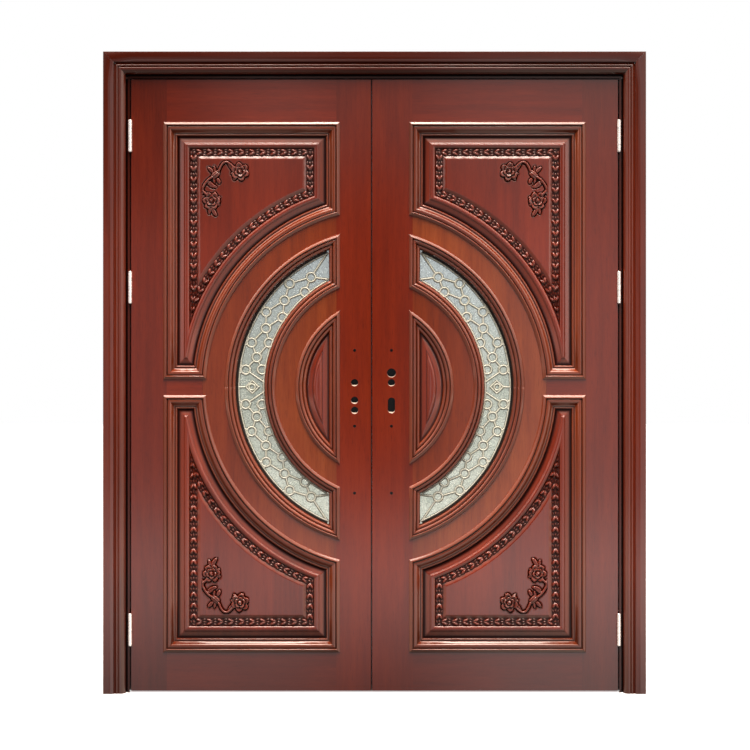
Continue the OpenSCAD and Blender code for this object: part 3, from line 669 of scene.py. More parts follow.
def spray():
    """Relief of the corner spray over the field: grid of X, Z, height and darkening, which is dark glazing with painted
    shade in the hollows and round the carving.
    """
    x0, x1, z0, z1 = WINDOW
    nx, nz = 130, 155
    x, z = np.meshgrid(np.linspace(x0, x1, nx + 1), np.linspace(z0, z1, nz + 1), indexing="ij")
    h = np.zeros_like(x)
    # stems
    h = stem(h, x, z, [(541, 1716), (553, 1708), (564, 1695), (571.5, 1681), (573, 1672), (567, 1665), (557, 1657)], 4.3, 5.0)
    h = stem(h, x, z, [(519, 1736), (512, 1752), (504, 1763), (493, 1766.5), (482, 1761), (471, 1750)], 4.1, 5.0)
    h = stem(h, x, z, [(560, 1699), (549, 1700), (540, 1694)], 2.6, 3.0)
    # leaves under the bud, and tips around the roses
    h = leaf(h, x, z, (557, 1697), (523, 1682), 10.0, 3.2, 2.0)
    h = leaf(h, x, z, (536, 1730), (556, 1751), 9.0, 4.2)
    h = leaf(h, x, z, (531, 1734), (534, 1756), 6.0, 3.4)
    h = leaf(h, x, z, (524, 1714), (514, 1692), 9.0, 4.2)
    h = leaf(h, x, z, (536, 1714), (532, 1694), 5.5, 3.2)
    h = leaf(h, x, z, (571, 1674), (575.5, 1655), 5.5, 3.2)
    h = leaf(h, x, z, (488, 1764), (476, 1741), 6.0, 3.4)
    for tip, wide in (((470, 1705), 8.0), ((418.5, 1722), 7.0), ((437, 1703), 8.0), ((452, 1768), 7.0), ((424, 1752), 6.5), ((481, 1727), 6.0)):
        d = np.array(tip) - np.array([449.4, 1733.7])
        base = np.array([449.4, 1733.7]) + 0.42 * d
        h = leaf(h, x, z, tuple(base), tip, wide, 3.4)
    for tip, wide in (((573, 1640), 7.0), ((511, 1650), 7.0), ((514, 1622), 7.0), ((566, 1615), 7.0), ((530, 1669), 6.5)):
        d = np.array(tip) - np.array([542.3, 1637.4])
        base = np.array([542.3, 1637.4]) + 0.45 * d
        h = leaf(h, x, z, tuple(base), tip, wide, 3.4)
    h = leaf(h, x, z, (543, 1617), (524, 1584), 10.0, 4.4, 1.5)
    h = leaf(h, x, z, (548, 1614), (551, 1590), 7.0, 3.6)
    # bud between the stems
    for off, high in ((-5.2, 5.0), (5.2, 5.0), (0.0, 6.6)):
        ax, az = 529.4 + off * 0.66, 1724.4 + off * 0.75
        d = oval(x, z, ax, az, 15.0 if off else 14.0, 5.4 if off else 4.0, math.atan2(0.66, -0.75))
        h = np.maximum(h, np.sqrt(np.clip(1 - d, 0, 1)) * high)
    h = rose(h, x, z, 447.8, 1734.5, 30.5, 0.35)
    h = rose(h, x, z, 543.0, 1637.4, 29.5, 1.10)
    solid = (h > 0.15).astype(float)
    near = soften(soften(solid, 3), 2)
    trench = np.where(solid > 0, 0.0, 3.0 * step(near * 2.4))
    h = h - trench
    edge = np.minimum.reduce([x - x0, x1 - x, z - z0, z1 - z])
    h *= np.clip((edge - 2.4) / 2.0, 0, 1)
    # painted shade: hollows and the trenches round the carving are darkened, on top of dark glazing
    hollow = np.clip((soften(h, 3) - h + 0.2) / 1.0, 0, 1) * solid
    dark_finish_and_shade = np.clip(hollow + 0.9 * np.clip(trench / 1.6, 0, 1), 0, 0.95) * np.clip(edge / 3.0, 0, 1)
    return x, z, h + FIELD, dark_finish_and_shade


SPRAY = spray()
LIP = 124.6


def corner_panel(name, side, lower):
    plan = []
    for e, at in enumerate(CORNER_LOOP):
        mid = at(BORDER, np.linspace(0, 1, 129))
        length = np.linalg.norm(np.diff(mid, axis=0), axis=1).sum()
        count = 6 if e == 3 else max(8, int(round(length / 2.3)))
        s = np.arange(count) / count
        pitch = length / max(1, round(length / 35.0)) if e != 3 else 35.0
        plan.append((at, s, pitch, -1 if e == 4 else 1))
    pitch = np.concatenate([np.full(len(p[1]), p[2]) for p in plan])
    tip = np.concatenate([np.full(len(p[1]), p[3]) for p in plan])
    edge = np.concatenate([np.full(len(p[1]), e) for e, p in enumerate(plan)])
    n = len(edge)
    first, last = corner_c(BORDER) - CENTRE, corner_e(BORDER)

    def run_along(points):
        """How far along its own edge a point of the border lies."""
        x, z = points.T
        turn = math.atan2(first[1], first[0]) - np.arctan2(z - ZC, x - CX)
        return np.choose(edge, [XO - BORDER - x, ZT - BORDER - z, turn * (RP + BORDER), 0 * x, z - last[1]])

    starts = np.cumsum([0] + [len(p[1]) for p in plan])
    rings, heights, darks, us = [], [], [], []

    def ring(u, h, dark=0.0):
        rings.append(np.vstack([at(u, s) for at, s, *_ in plan]))
        heights.append(np.broadcast_to(h, (n,)).astype(float))
        darks.append(np.broadcast_to(dark, (n,)).astype(float))
        us.append(u)

    # painted shadow: the groove at the moulding's foot and the start of the bevel are darkened where the moulding
    # shades them
    for u, h in ((74, -44.4), (72, -44.4), (70.5, -44.1), (69, -43.6), (66, -40.8), (65, -40.4), (53, -35.6), (52, -35), (13, -35),
                 (13, -10), (46, -10), (51, -9.9), (54, -9.3), (58, -8.0), (62, -6.6), (65.6, -5.3)):
        ring(u, h, {46: 0.96, 51: 0.94, 54: 0.72, 58: 0.25}.get(u, 0.0) if h > -30 else 0.0)
    # painted shade in the quirks either side of the ridge
    for u, h, dark in ((67.6, -4.7, 0.15), (68.8, -4.3, 0.25), (69.8, -3.2, 0.05), (71.2, -1.7, 0), (73, -0.4, 0), (75.4, 0.5, 0),
                       (77.8, 0.75, 0), (80.2, 0.5, 0), (82.4, -0.2, 0), (84.4, -1.2, 0), (86, -2.5, 0.15), (87, -4.2, 0.6)):
        ring(u, h, dark)
    for u in np.concatenate([np.linspace(88.0, 113.0, 21), np.linspace(114.2, LIP, 6)]):
        along = run_along(np.vstack([at(u, s) for at, s, *_ in plan]))
        carved = heart_chain(along, np.full(n, u - BORDER), pitch, tip)
        wave = 0.5 + 0.5 * np.cos(2 * np.pi * along / pitch)
        foot = 112.6 + 1.0 * wave
        lip = (FIELD - FLOOR) * np.clip((u - foot) / (LIP - 1.0 - foot), 0, 1) ** 0.8
        h = FLOOR + np.maximum(carved, lip)
        # painted shade on the channel floor round the leaves, darker where it lies deeper, and less under the lip
        dark = np.clip((-2.4 - h) / 2.8, 0, 1) * 0.8
        dark = np.where(lip > carved, dark * 0.4, dark)
        ring(u, h, dark)
    heights[-1][:] = FIELD
    darks[-1][:] = 0.0
    ring(LIP + 0.7, FIELD)
    pts = np.concatenate([np.column_stack([r, h]) for r, h in zip(rings, heights)])
    dark_finish_and_shade = np.concatenate(darks)
    count = len(rings)
    idx = np.arange(count * n).reshape(count, n)
    # past the tongue's end the bottom edge is a single point
    for k, u in enumerate(us):
        if corner_d(u)[0] == corner_e(u)[0]:
            idx[k, starts[3]:starts[4] + 1] = idx[k, starts[3]]
    a, b = idx[:-1], idx[1:]
    quads = np.stack([a, np.roll(a, -1, 1), np.roll(b, -1, 1), b], -1).reshape(-1, 4)
    faces = []
    for q in quads.tolist():
        if len(set(q)) == 4:
            faces.append(q)
        else:
            f = [v for i, v in enumerate(q) if v != q[i - 1]]
            if len(f) > 2:
                faces.append(f)
    first_flat = len(faces)
    faces.append(idx[0][::-1].tolist())
    # the field in two parts around the spray, which is a fine grid of its own
    x, z, h, dark = SPRAY
    base = len(pts)
    grid = base + np.arange(x.size).reshape(x.shape)
    pts = np.vstack([pts, np.column_stack([x.ravel(), z.ravel(), h.ravel()])])
    dark_finish_and_shade = np.concatenate([dark_finish_and_shade, dark.ravel()])
    loop = [v for i, v in enumerate(idx[-1].tolist()) if v != idx[-1][i - 1]]
    flat_pts = pts[loop][:, :2]
    m = int(np.argmin(np.hypot(*(flat_pts - np.array([WINDOW[0], WINDOW[2]])).T)))
    left, top = grid[0, :].tolist(), grid[:, -1].tolist()
    right, bottom = grid[-1, :].tolist(), grid[:, 0].tolist()
    faces.append(loop[:m + 1] + left + top[1:])
    faces.append(loop[m:] + loop[:1] + right[::-1] + bottom[::-1][1:])
    cells = np.stack([grid[:-1, :-1], grid[1:, :-1], grid[1:, 1:], grid[:-1, 1:]], -1).reshape(-1, 4)
    faces += cells.tolist()
    if (side < 0) ^ lower:
        faces = [f[::-1] for f in faces]
    used = np.unique(np.concatenate([np.asarray(f) for f in faces]))
    renum = np.full(len(pts), -1)
    renum[used] = np.arange(len(used))
    faces = [renum[f].tolist() for f in faces]
    return make(name, place(pts[used], side, lower), faces, floats={"dark_finish_and_shade": dark_finish_and_shade[used]}, angle=50.0,
                flat=(first_flat,))


def centre_panel(name, side):
    plan = []
    for e, at in enumerate(CENTRE_LOOP):
        count = (60, 110)[e]
        plan.append((at, np.arange(count) / count))
    rings, heights, darks = [], [], []
    # the third number of each ring is painted shade in the groove at the moulding's foot and in the quirk on the bevel
    front = [(13, -10, 0), (36, -10, 0.9), (42, -10, 0.7), (43, -9.4, 0.3), (47, -8.4, 0.08), (52, -7.0, 0), (56.4, -5.9, 0.05), (57.4, -5.8, 0.6),
             (58.6, -5.7, 0.6), (59.6, -4.9, 0.15), (61, -3.5, 0), (63, -2.0, 0), (65.6, -0.9, 0), (68, -0.5, 0), (70, -0.6, 0), (72, -1.0, 0), (74, -1.3, 0)]
    back = [(u, -T - h, 0) for u, h, d in front[::-1]]
    for u, h, d in back + front:
        rings.append(np.vstack([at(u, s) for at, s in plan]))
        heights.append(h)
        darks.append(d)
    n = len(rings[0])
    pts = np.concatenate([np.column_stack([r, np.full(n, h)]) for r, h in zip(rings, heights)])
    idx = np.arange(len(rings) * n).reshape(len(rings), n)
    a, b = idx[:-1], idx[1:]
    faces = np.stack([a, np.roll(a, -1, 1), np.roll(b, -1, 1), b], -1).reshape(-1, 4).tolist()
    first_flat = len(faces)
    faces += [idx[0][::-1].tolist(), idx[-1].tolist()]
    if side < 0:
        faces = [f[::-1] for f in faces]
    return make(name, place(pts, side), faces, floats={"dark_finish_and_shade": np.repeat(darks, n)}, angle=50.0, flat=(first_flat, first_flat + 1))


# ---------------------------------------------------------------------------
# Leaded lights

GEM_MID = [(13.1, 436.5), (26.4, 440.5), (41, 440.5), (56.4, 440.5)]
GEM_IN = [(8.1, 411.5), (21, 411.5), (34.5, 412), (50.2, 412.5)]
GEM_OUT = [(7.1, 465.5), (18.5, 466.5), (32.5, 467), (47.6, 468)]
GEM_R = 14.8


def polar(angle, radius):
    a = math.radians(angle)
    return np.array([CX + radius * math.cos(a), ZC + radius * math.sin(a)])


def inside_light(p, u=37.4):
    r = np.hypot(*(p - CENTRE))
    return RH + u <= r <= RG - u - 7.6 and p[0] >= XI + u


def came_layout():
    """Rings as (centre, radius) and strips as point lists, for the whole light."""
    rings, strips = [], []
    for flip in (1, -1):
        def at(g):
            return polar(flip * g[0], g[1])

        def link(p, q, rp, rq):
            d = (q - p) / np.linalg.norm(q - p)
            strips.append((p + d * rp, q - d * rq))
        for ring in (GEM_MID, GEM_IN, GEM_OUT):
            rings.extend((at(g), GEM_R) for g in ring)
        for i in range(4):
            link(at(GEM_MID[i]), at(GEM_IN[i]), GEM_R, GEM_R)
            link(at(GEM_MID[i]), at(GEM_OUT[i]), GEM_R, GEM_R)
            if i < 3:
                link(at(GEM_MID[i]), at(GEM_IN[i + 1]), GEM_R, GEM_R)
                link(at(GEM_MID[i]), at(GEM_OUT[i + 1]), GEM_R, GEM_R)
            for turn in (-3, 3):
                link(at(GEM_OUT[i]), polar(flip * (GEM_OUT[i][0] + turn), 500), GEM_R, 0)
        link(at(GEM_MID[3]), polar(flip * 66.5, 388), GEM_R, 0)
        link(at(GEM_MID[3]), polar(flip * 69.5, 500), GEM_R, 0)
        link(at(GEM_OUT[0]), polar(flip * 1.1, 388), GEM_R, 0)
        strips.append((polar(0, 418), polar(flip * 2.7, 440)))
        strips.append((polar(flip * 2.7, 440), polar(0, 462)))
    rings.append((polar(0, 441), 10.0))
    strips.append((polar(0, 460), polar(0, 500)))
    return rings, strips


CAME_RINGS, CAME_STRIPS = came_layout()


def came(name, side):
    co, faces, darkening_with_shade = [], [], []
    half = [(math.cos(t), 0.14 + 0.86 * math.sin(t)) for t in np.linspace(math.pi, 0, 6)]
    half = [(-1.75, 0.0), (-1.72, 0.1), (-1.08, 0.12)] + half + [(1.08, 0.12), (1.72, 0.1), (1.75, 0.0)]
    # painted shade: the flat skirts either side of each strip carry a dark flange colour that stands in for the shade
    # along the lines
    flange_dark_and_shade = [1, 1, 0.9] + [0] * 6 + [0.9, 1, 1]

    def run(points, closed, wide, high, level, up):
        points = np.asarray(points)
        n = len(points)
        if closed:
            tan = np.roll(points, -1, 0) - np.roll(points, 1, 0)
        else:
            tan = np.gradient(points, axis=0)
        tan /= np.linalg.norm(tan, axis=1)[:, None]
        nor = np.stack([-tan[:, 1], tan[:, 0]], 1)
        base = len(co)
        m = len(half)
        for i in range(n):
            for (a, b), d in zip(half, flange_dark_and_shade):
                p = points[i] + nor[i] * a * wide / 2
                co.append((p[0], p[1], level + up * b * high))
                darkening_with_shade.append(d)
        count = n if closed else n - 1
        flip = (up < 0) ^ (side < 0)
        for i in range(count):
            k, l = base + i * m, base + ((i + 1) % n) * m
            for j in range(m):
                q = [k + j, k + (j + 1) % m, l + (j + 1) % m, l + j]
                faces.append(q if flip else q[::-1])
        if not closed:
            a = list(range(base, base + m))
            b = list(range(base + (n - 1) * m, base + n * m))
            faces.append(a[::-1] if flip else a)
            faces.append(b if flip else b[::-1])

    def blob(p, r, high, level, up):
        base = len(co)
        m = 10
        for k in range(3):
            rr, hh = r * math.cos(k * math.pi / 6), high * math.sin(k * math.pi / 6)
            for j in range(m):
                a = 2 * math.pi * j / m
                co.append((p[0] + rr * math.cos(a), p[1] + rr * math.sin(a), level + up * hh))
        co.append((p[0], p[1], level + up * high))
        darkening_with_shade.extend([0.0] * (3 * m + 1))
        flip = (up < 0) ^ (side < 0)
        made = [[base + k * m + j, base + k * m + (j + 1) % m, base + (k + 1) * m + (j + 1) % m, base + (k + 1) * m + j]
                for k in range(2) for j in range(m)]
        made += [[base + 2 * m + j, base + 2 * m + (j + 1) % m, base + 3 * m] for j in range(m)]
        made.append([base + j for j in range(m)][::-1])
        faces.extend(f[::-1] if flip else f for f in made)

    for level, up in ((-18.5, 1), (-26.5, -1)):
        for c, r in CAME_RINGS:
            t = np.linspace(0, 2 * math.pi, 35)[:-1]
            run(np.stack([c[0] + r * np.cos(t), c[1] + r * np.sin(t)], 1), True, 5.0, 2.6, level, up)
        t = np.linspace(-69.0, 69.0, 97)
        rim = np.array([polar(a, RH + 39.9) for a in t])
        run(rim[rim[:, 0] >= XI + 37.4], False, 4.6, 2.2, level, up)
        rim = np.array([polar(a, RG - 46.4) for a in t])
        run(rim[rim[:, 0] >= XI + 37.4], False, 4.2, 2.2, level, up)
        for p, q in CAME_STRIPS:
            pts = p + (q - p) * np.linspace(0, 1, 60)[:, None]
            kept = [x for x in pts if inside_light(x)]
            if len(kept) < 3:
                continue
            run([kept[0], (kept[0] + kept[-1]) / 2, kept[-1]], False, 4.8, 2.5, level, up)
            for end in (kept[0], kept[-1]):
                if inside_light(end, 40.5):
                    blob(end, 3.1, 2.75, level, up)
    return make(name, place(np.array(co), side), faces, floats={"dark_finish_and_shade": darkening_with_shade}, angle=60.0)


def gasket(name, side):
    """Dark bedding strip between the outer rim of the light and its moulding, on both faces."""
    t = np.linspace(-72.0, 72.0, 121)
    radius = np.array([RG - 44.0, RG - 44.0, RG - 43.4, RG - 38.0, RG - 37.1, RG - 37.1])
    rise = np.array([0.0, 0.7, 1.2, 1.6, 1.6, 0.0])
    t = t[np.array([polar(a, RG - 44.0)[0] for a in t]) >= XI + 37.2]
    co, faces = [], []
    for level, up in ((-18.5, 1), (-26.5, -1)):
        base, m = len(co), len(radius)
        for a in t:
            co.extend((*polar(a, r), level + up * h) for r, h in zip(radius, rise))
        made = [[base + i * m + j, base + i * m + (j + 1) % m, base + (i + 1) * m + (j + 1) % m, base + (i + 1) * m + j]
                for i in range(len(t) - 1) for j in range(m)]
        made.append([base + j for j in range(m)][::-1])
        made.append([base + (len(t) - 1) * m + j for j in range(m)])
        faces.extend(f if (up < 0) ^ (side < 0) else f[::-1] for f in made)
    return make(name, place(np.array(co), side), faces, angle=50.0)


# ---------------------------------------------------------------------------
# Lock holes and meeting edge

LOCK_HOLES = {-1: ((66.5, 1032.0, 12.0, 4.4), (66.5, 973.5, 12.0, 4.4), (66.5, 940.0, 12.0, 4.4)),
              1: ((56.2, 1032.0, 12.0, 3.2), (56.2, 942.0, 12.0, 4.4), (56.2, 1064.4, 15.0, 2.0))}


def bore_lips(name, side):
    """Raw timber that shows as a sloping lip at the lower edge of each lock hole."""
    co, faces = [], []
    for x, z, r, thick in LOCK_HOLES[side]:
        base = len(co)
        turn = np.linspace(1.04 * math.pi, 1.96 * math.pi, 25)
        for t in turn:
            inner = r - 0.12 - thick * math.sin(t) ** 2
            for radius, h in ((r - 0.05, -0.15), (r - 0.05, -9.0), (inner, -9.0), (0.35 * inner + 0.65 * (r - 0.1), -2.6)):
                co.append((x + radius * math.cos(t), z + radius * math.sin(t), h))
        made = [[base + 4 * i + j, base + 4 * i + (j + 1) % 4, base + 4 * i + 4 + (j + 1) % 4, base + 4 * i + 4 + j]
                for i in range(len(turn) - 1) for j in range(4)]
        end = base + 4 * (len(turn) - 1)
        made += [[base + 3, base + 2, base + 1, base], [end, end + 1, end + 2, end + 3]]
        faces.extend(f if side > 0 else f[::-1] for f in made)
    return make(name, place(np.array(co), side), faces, angle=50.0)


def seal_lip(name):
    """Soft lip on the meeting strip that reaches the other leaf's edge."""
    low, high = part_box("left_meeting_seal")
    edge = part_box("right_lock_stile")[0][0]
    a, b, y = high[0] - 0.0004, edge - 0.00006, low[1] + 0.0012
    outline = [(a, y), (b - 0.00018, y + 0.0002), (b, y + 0.0006), (b, y + 0.0011), (b - 0.00018, y + 0.0015), (a, y + 0.0017)]
    m, levels = len(outline), np.linspace(low[2], high[2], 25)
    co = [(px, py, z) for z in levels for px, py in outline]
    faces = [[m * i + j, m * i + (j + 1) % m, m * i + m + (j + 1) % m, m * i + m + j] for i in range(len(levels) - 1) for j in range(m)]
    faces += [list(range(m))[::-1], [m * (len(levels) - 1) + j for j in range(m)]]
    return make(name, np.array(co), faces, angle=50.0)


# ---------------------------------------------------------------------------
# Build

MATS = {
    "jamb": wood("frame_jamb_wood", "Z", FRAME_TONES, (0.3, 0.1, 0.7), groove=("X", 0.8208, 0.8284)),
    "head": wood("frame_head_wood", "X", FRAME_TONES, (1.3, 0.4, 0.2), groove=("Z", 2.0508, 2.0584)),
    "casing": wood("casing_wood", "UV", FRAME_TONES, (0.5, 0.2, 0.0)),
    # painted shade: the head casing takes the darker copy of the frame tones and a thinner coat
    "casing_head": wood("shaded_head_casing_wood", "UV", SHADED_HEAD_TONES, (0.9, 0.7, 0.0), coat=0.6),
    "stile": wood("stile_wood", "Z", deeper(MAHOGANY, 0.80), (2.3, 0.1, 0.4)),
    "lock": wood("lock_stile_wood", "Z", LOCK_TONES, (4.1, 0.6, 0.9), bores=True),
    "rail": wood("rail_wood", "X", deeper(MAHOGANY, 0.92), (0.9, 1.6, 3.4)),
    "bottom_rail": wood("bottom_rail_wood", "X", deeper(MAHOGANY, 1.02), (2.9, 4.6, 0.4)),
    "top_rail": wood("top_rail_wood", "X", deeper(MAHOGANY, 1.25), (3.9, 0.6, 1.4)),
    "curve": wood("curved_rail_wood", "Z", CURVE_TONES, (7.7, 2.2, 1.9)),
    # painted light: the lighter copy for the curved rails on the brighter side of each leaf
    "painted_lit_curve": wood("painted_lit_curved_rail_wood", "Z", PAINTED_LIT_CURVE_TONES, (1.7, 5.2, 3.1)),
    "moulding": wood("moulding_wood", "UV", deeper(CURVE_TONES, 0.9), (0.2, 0.9, 0.0), dark_finish_and_shade=True, rough=(0.22, 0.34)),
    "panel": wood("carved_panel_wood", "Z", deeper(MAHOGANY, 1.06), (5.2, 3.3, 2.7), dark_finish_and_shade=True, rough=(0.22, 0.34)),
    "glass": glass("textured_glass", (0, 0, 0)),
    "came": came_metal("came_metal"),
    "chrome": chrome("hinge_chrome"),
    "rubber": rubber("seal_rubber"),
    "raw": raw_timber("raw_timber"),
}


def paint(node, key):
    ob = nodes[node]
    if not ob.material_slots:
        ob.data.materials.append(MATS[key])
    for s in ob.material_slots:
        s.material = MATS[key]


paint("left_jamb", "jamb")
paint("right_jamb", "jamb")
paint("head_jamb", "head")
for n in ("left_hinge_frame_plates", "right_hinge_frame_plates", "left_hinge_pins", "right_hinge_pins", "hinge_frame_screws"):
    paint(n, "chrome")

for kind in ("left", "right", "head"):
    ob = casing(f"{kind}_casing_board", kind)
    ob.data.materials.append(MATS["casing_head" if kind == "head" else "casing"])
    join_up(ob, "frame", "frame_wood", f"{kind}_casing")

for word, side in (("left", -1), ("right", 1)):
    body = f"{word}_leaf"
    paint(f"{word}_hinge_stile", "stile")
    paint(f"{word}_lock_stile", "lock")
    for n in ("top_rail", "mid_rail", "bottom_rail"):
        paint(f"{word}_{n}", "rail" if n == "mid_rail" else n)
    for n in ("outer_curved_rail", "inner_curved_rail"):
        # painted light: the right outer and left inner curved rails take the lighter copy
        paint(f"{word}_{n}", "painted_lit_curve" if (word, n) in (("right", "outer_curved_rail"), ("left", "inner_curved_rail")) else "curve")
    paint(f"{word}_glass_pane", "glass")
    paint(f"{word}_hinge_leaf_plates", "chrome")
    paint(f"{word}_hinge_leaf_screws", "chrome")
    shift = 0.0 if side < 0 else 11.3
    for back in (False, True):
        tail = "_back" if back else ""
        for part, edges, floor, wide, lower, joints in (
                ("upper", CORNER_LOOP, -10.0, 47.0, False, ()), ("lower", CORNER_LOOP, -10.0, 47.0, True, ()),
                ("glass", GLASS_LOOP, -18.5, 37.0, False, ((3, 0.5),)), ("centre", CENTRE_LOOP, -10.0, 37.0, False, ())):
            shift += 2.9
            ob = moulding(f"{word}_{part}_moulding_run{tail}", edges, floor, wide, side, lower, back, joints, shift)
            ob.data.materials.append(MATS["moulding"])
            join_up(ob, body, "moulding_wood", f"{word}_{part}_moulding{tail}")
    for part, lower in (("upper", False), ("lower", True)):
        ob = corner_panel(f"{word}_{part}_panel_carved", side, lower)
        ob.data.materials.append(MATS["panel"])
        join_up(ob, body, "panel_wood", f"{word}_{part}_panel")
    ob = centre_panel(f"{word}_centre_panel_raised", side)
    ob.data.materials.append(MATS["panel"])
    join_up(ob, body, "panel_wood", f"{word}_centre_panel")
    ob = came(f"{word}_came_strips", side)
    ob.data.materials.append(MATS["came"])
    join_up(ob, body, "came", f"{word}_glass_came")
    ob = gasket(f"{word}_glass_bedding", side)
    ob.data.materials.append(MATS["rubber"])
    join_up(ob, body, "seal")
    ob = bore_lips(f"{word}_lock_hole_lips", side)
    ob.data.materials.append(MATS["raw"])
    join_up(ob, body, "leaf_wood")

paint("left_meeting_seal", "rubber")
ob = seal_lip("left_meeting_seal_lip")
ob.data.materials.append(MATS["rubber"])
join_up(ob, "left_leaf", "seal")

# ---------------------------------------------------------------------------
# Stage, light and camera

f = Finish("pale_floor")
grain = f.noise(f.coords("Object"), 3.0, 3.0, 0.5)
f.set(Base_Color=f.ramp(grain, [(0.3, (0.80, 0.80, 0.80, 1)), (0.7, (0.84, 0.84, 0.84, 1))]), Roughness=0.6)
f.set(Emission_Color=(1, 1, 1, 1), Emission_Strength=0.56)
floor = make("studio_floor", np.array([[-30, -30, 0], [30, -30, 0], [30, 30, 0], [-30, 30, 0]], float), [[0, 1, 2, 3]])
floor.data.materials.append(f.mat)
floor.visible_diffuse = False
floor.visible_glossy = False

world = bpy.data.worlds.new("studio")
scene.world = world
world.use_nodes = True
tree = world.node_tree
tree.nodes.clear()


def world_node(kind, **props):
    n = tree.nodes.new(kind)
    for k, v in props.items():
        setattr(n, k, v)
    return n


def world_span(value, a, b, c, d):
    n = world_node("ShaderNodeMapRange", interpolation_type="SMOOTHSTEP")
    tree.links.new(value, n.inputs["Value"])
    for key, v in (("From Min", a), ("From Max", b), ("To Min", c), ("To Max", d)):
        n.inputs[key].default_value = v
    return n.outputs["Result"]


def world_math(op, a, b):
    n = world_node("ShaderNodeMath", operation=op)
    for socket, value in zip(n.inputs, (a, b)):
        if isinstance(value, bpy.types.NodeSocket):
            tree.links.new(value, socket)
        else:
            socket.default_value = value
    return n.outputs[0]


# what lights the matt surfaces: a dim room, a brighter ceiling, and a bright backdrop behind the glass
split = world_node("ShaderNodeSeparateXYZ")
tree.links.new(world_node("ShaderNodeTexCoord").outputs["Generated"], split.inputs[0])
wx, wy, wz = (split.outputs[k] for k in "XYZ")
aside = world_math("ABSOLUTE", wx, 0.0)
ceiling = world_span(wz, 0.25, 0.9, 0.09, 0.6)
backdrop = world_span(wy, 0.05, 0.5, 0.0, 0.56)
matt = world_math("MAXIMUM", ceiling, backdrop)
# what the lacquer reflects: pale walls left and right of a dark doorway, a bright strip of floor, and an arch
# of warm light from side to side over the door
beside = world_math("SQRT", world_math("SUBTRACT", 1.0, world_math("MULTIPLY", wy, wy)), 0.0)
rise = world_math("DIVIDE", wz, world_math("MAXIMUM", beside, 0.001))
corner = world_math("MULTIPLY", world_span(wx, -0.05, -0.10, 0.0, 0.85), world_span(wz, 0.075, 0.115, 0.0, 1.0))
walls = world_math("MULTIPLY", world_span(aside, 0.020, 0.055, 0.0, 0.66), world_math("SUBTRACT", 1.0, corner))
window = world_math("MULTIPLY", world_span(wx, 0.04, 0.085, 0.0, 0.72), world_span(wz, 0.12, 0.06, 0.15, 1.0))
upper = world_math("MULTIPLY", world_span(wz, 0.10, 0.165, 0.0, 0.75), world_span(wx, -0.13, -0.08, 0.0, 1.0))
upper = world_math("MULTIPLY", upper, world_span(wz, 0.17, 0.20, 1.0, 0.3))
strip = world_math("MULTIPLY", world_span(wz, -0.070, -0.108, 0.0, 1.95), world_span(wz, -0.185, -0.128, 0.14, 1.0))
strip = world_math("MULTIPLY", strip, world_span(aside, 0.03, 0.10, 1.08, 0.84))
arch = world_math("MULTIPLY", world_span(beside, 0.34, 0.82, 0.0, 1.0), world_span(rise, 0.0, 0.95, 0.30, 7.2))
arch = world_math("MULTIPLY", arch, world_span(wy, 0.35, 0.0, 0.0, 1.0))
arch = world_math("MULTIPLY", arch, world_span(rise, -0.7, -0.1, 0.3, 1.0))
arch = world_math("MULTIPLY", arch, world_span(wy, -0.42, -0.14, 0.45, 1.6))
shiny = world_math("ADD", world_math("ADD", walls, window), world_math("ADD", upper, strip))
shiny = world_math("MAXIMUM", world_math("ADD", shiny, arch), backdrop)
path = world_node("ShaderNodeLightPath")
gloss = path.outputs["Is Glossy Ray"]
strength = world_math("ADD", world_math("MULTIPLY", gloss, shiny), world_math("MULTIPLY", world_math("SUBTRACT", 1.0, gloss), matt))
tint = world_node("ShaderNodeMix", data_type="RGBA")
tree.links.new(world_math("MULTIPLY", gloss, world_span(beside, 0.30, 0.6, 0.0, 1.0)), tint.inputs[0])
tint.inputs[6].default_value = (1.0, 0.985, 0.965, 1)
tint.inputs[7].default_value = (1.0, 0.82, 0.68, 1)
lit = world_node("ShaderNodeBackground")
tree.links.new(tint.outputs[2], lit.inputs["Color"])
tree.links.new(strength, lit.inputs["Strength"])
seen = world_node("ShaderNodeBackground")
seen.inputs["Color"].default_value = (1, 1, 1, 1)
seen.inputs["Strength"].default_value = 1.0
choose = world_node("ShaderNodeMixShader")
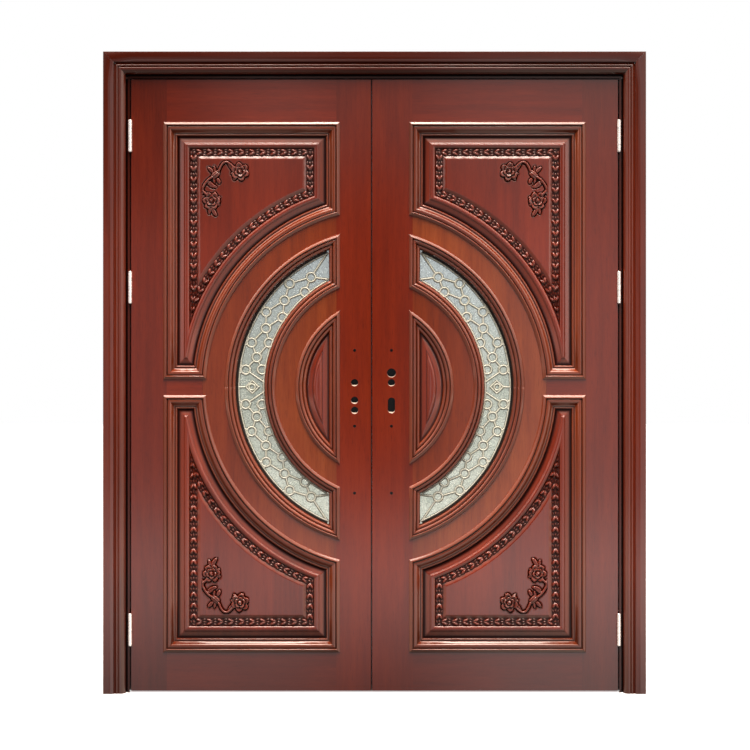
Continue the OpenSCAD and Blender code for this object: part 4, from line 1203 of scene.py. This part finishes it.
tree.links.new(path.outputs["Is Camera Ray"], choose.inputs[0])
tree.links.new(lit.outputs[0], choose.inputs[1])
tree.links.new(seen.outputs[0], choose.inputs[2])
tree.links.new(choose.outputs[0], world_node("ShaderNodeOutputWorld").inputs["Surface"])


def softbox(name, at, to, size, power, colour=(1, 1, 1)):
    data = bpy.data.lights.new(name, "AREA")
    data.shape = "RECTANGLE"
    data.size, data.size_y = size
    data.energy = power
    data.color = colour
    ob = bpy.data.objects.new(name, data)
    scene.collection.objects.link(ob)
    ob.visible_camera = False
    ob.location = at
    d = np.array(to, float) - np.array(at, float)
    ob.rotation_euler = (math.atan2(math.hypot(d[0], d[1]), -d[2]), 0, math.atan2(-d[0], d[1]) if abs(d[0]) + abs(d[1]) > 1e-6 else 0)
    return ob


WARM, GLOW = (1.0, 0.965, 0.93), (1.0, 0.87, 0.76)
softbox("top_left", (-2.1, -4.8, 14.0), (-0.5, 0, 1.0), (4.0, 8.2), 1230, GLOW)
softbox("top_right", (2.1, -4.8, 14.0), (0.5, 0, 1.0), (4.0, 8.2), 1230, GLOW)
softbox("top_left_middle", (-0.85, -4.8, 14.0), (-0.2, 0, 1.0), (1.1, 8.2), 340, GLOW)
softbox("top_right_middle", (0.85, -4.8, 14.0), (0.2, 0, 1.0), (1.1, 8.2), 340, GLOW)
softbox("fill_left", (-4.2, -3.4, 2.2), (-0.3, 0, 1.0), (1.6, 2.4), 18, WARM)
softbox("fill_right", (4.2, -3.4, 2.2), (0.3, 0, 1.0), (1.6, 2.4), 22, WARM)

DISTANCE, VIEW_WIDTH = 5.5, 2.4885
camera = bpy.data.cameras.new("front_camera")
camera.sensor_width = 36.0
camera.lens = 36.0 * DISTANCE / VIEW_WIDTH
camera.clip_end = 200.0
eye = bpy.data.objects.new("front_camera", camera)
scene.collection.objects.link(eye)
eye.location = (0.0015, -0.066 - DISTANCE, 1.0575)
eye.rotation_euler = (math.pi / 2, 0, 0)
scene.camera = eye

scene.view_settings.view_transform = "Standard"
scene.view_settings.look = "None"
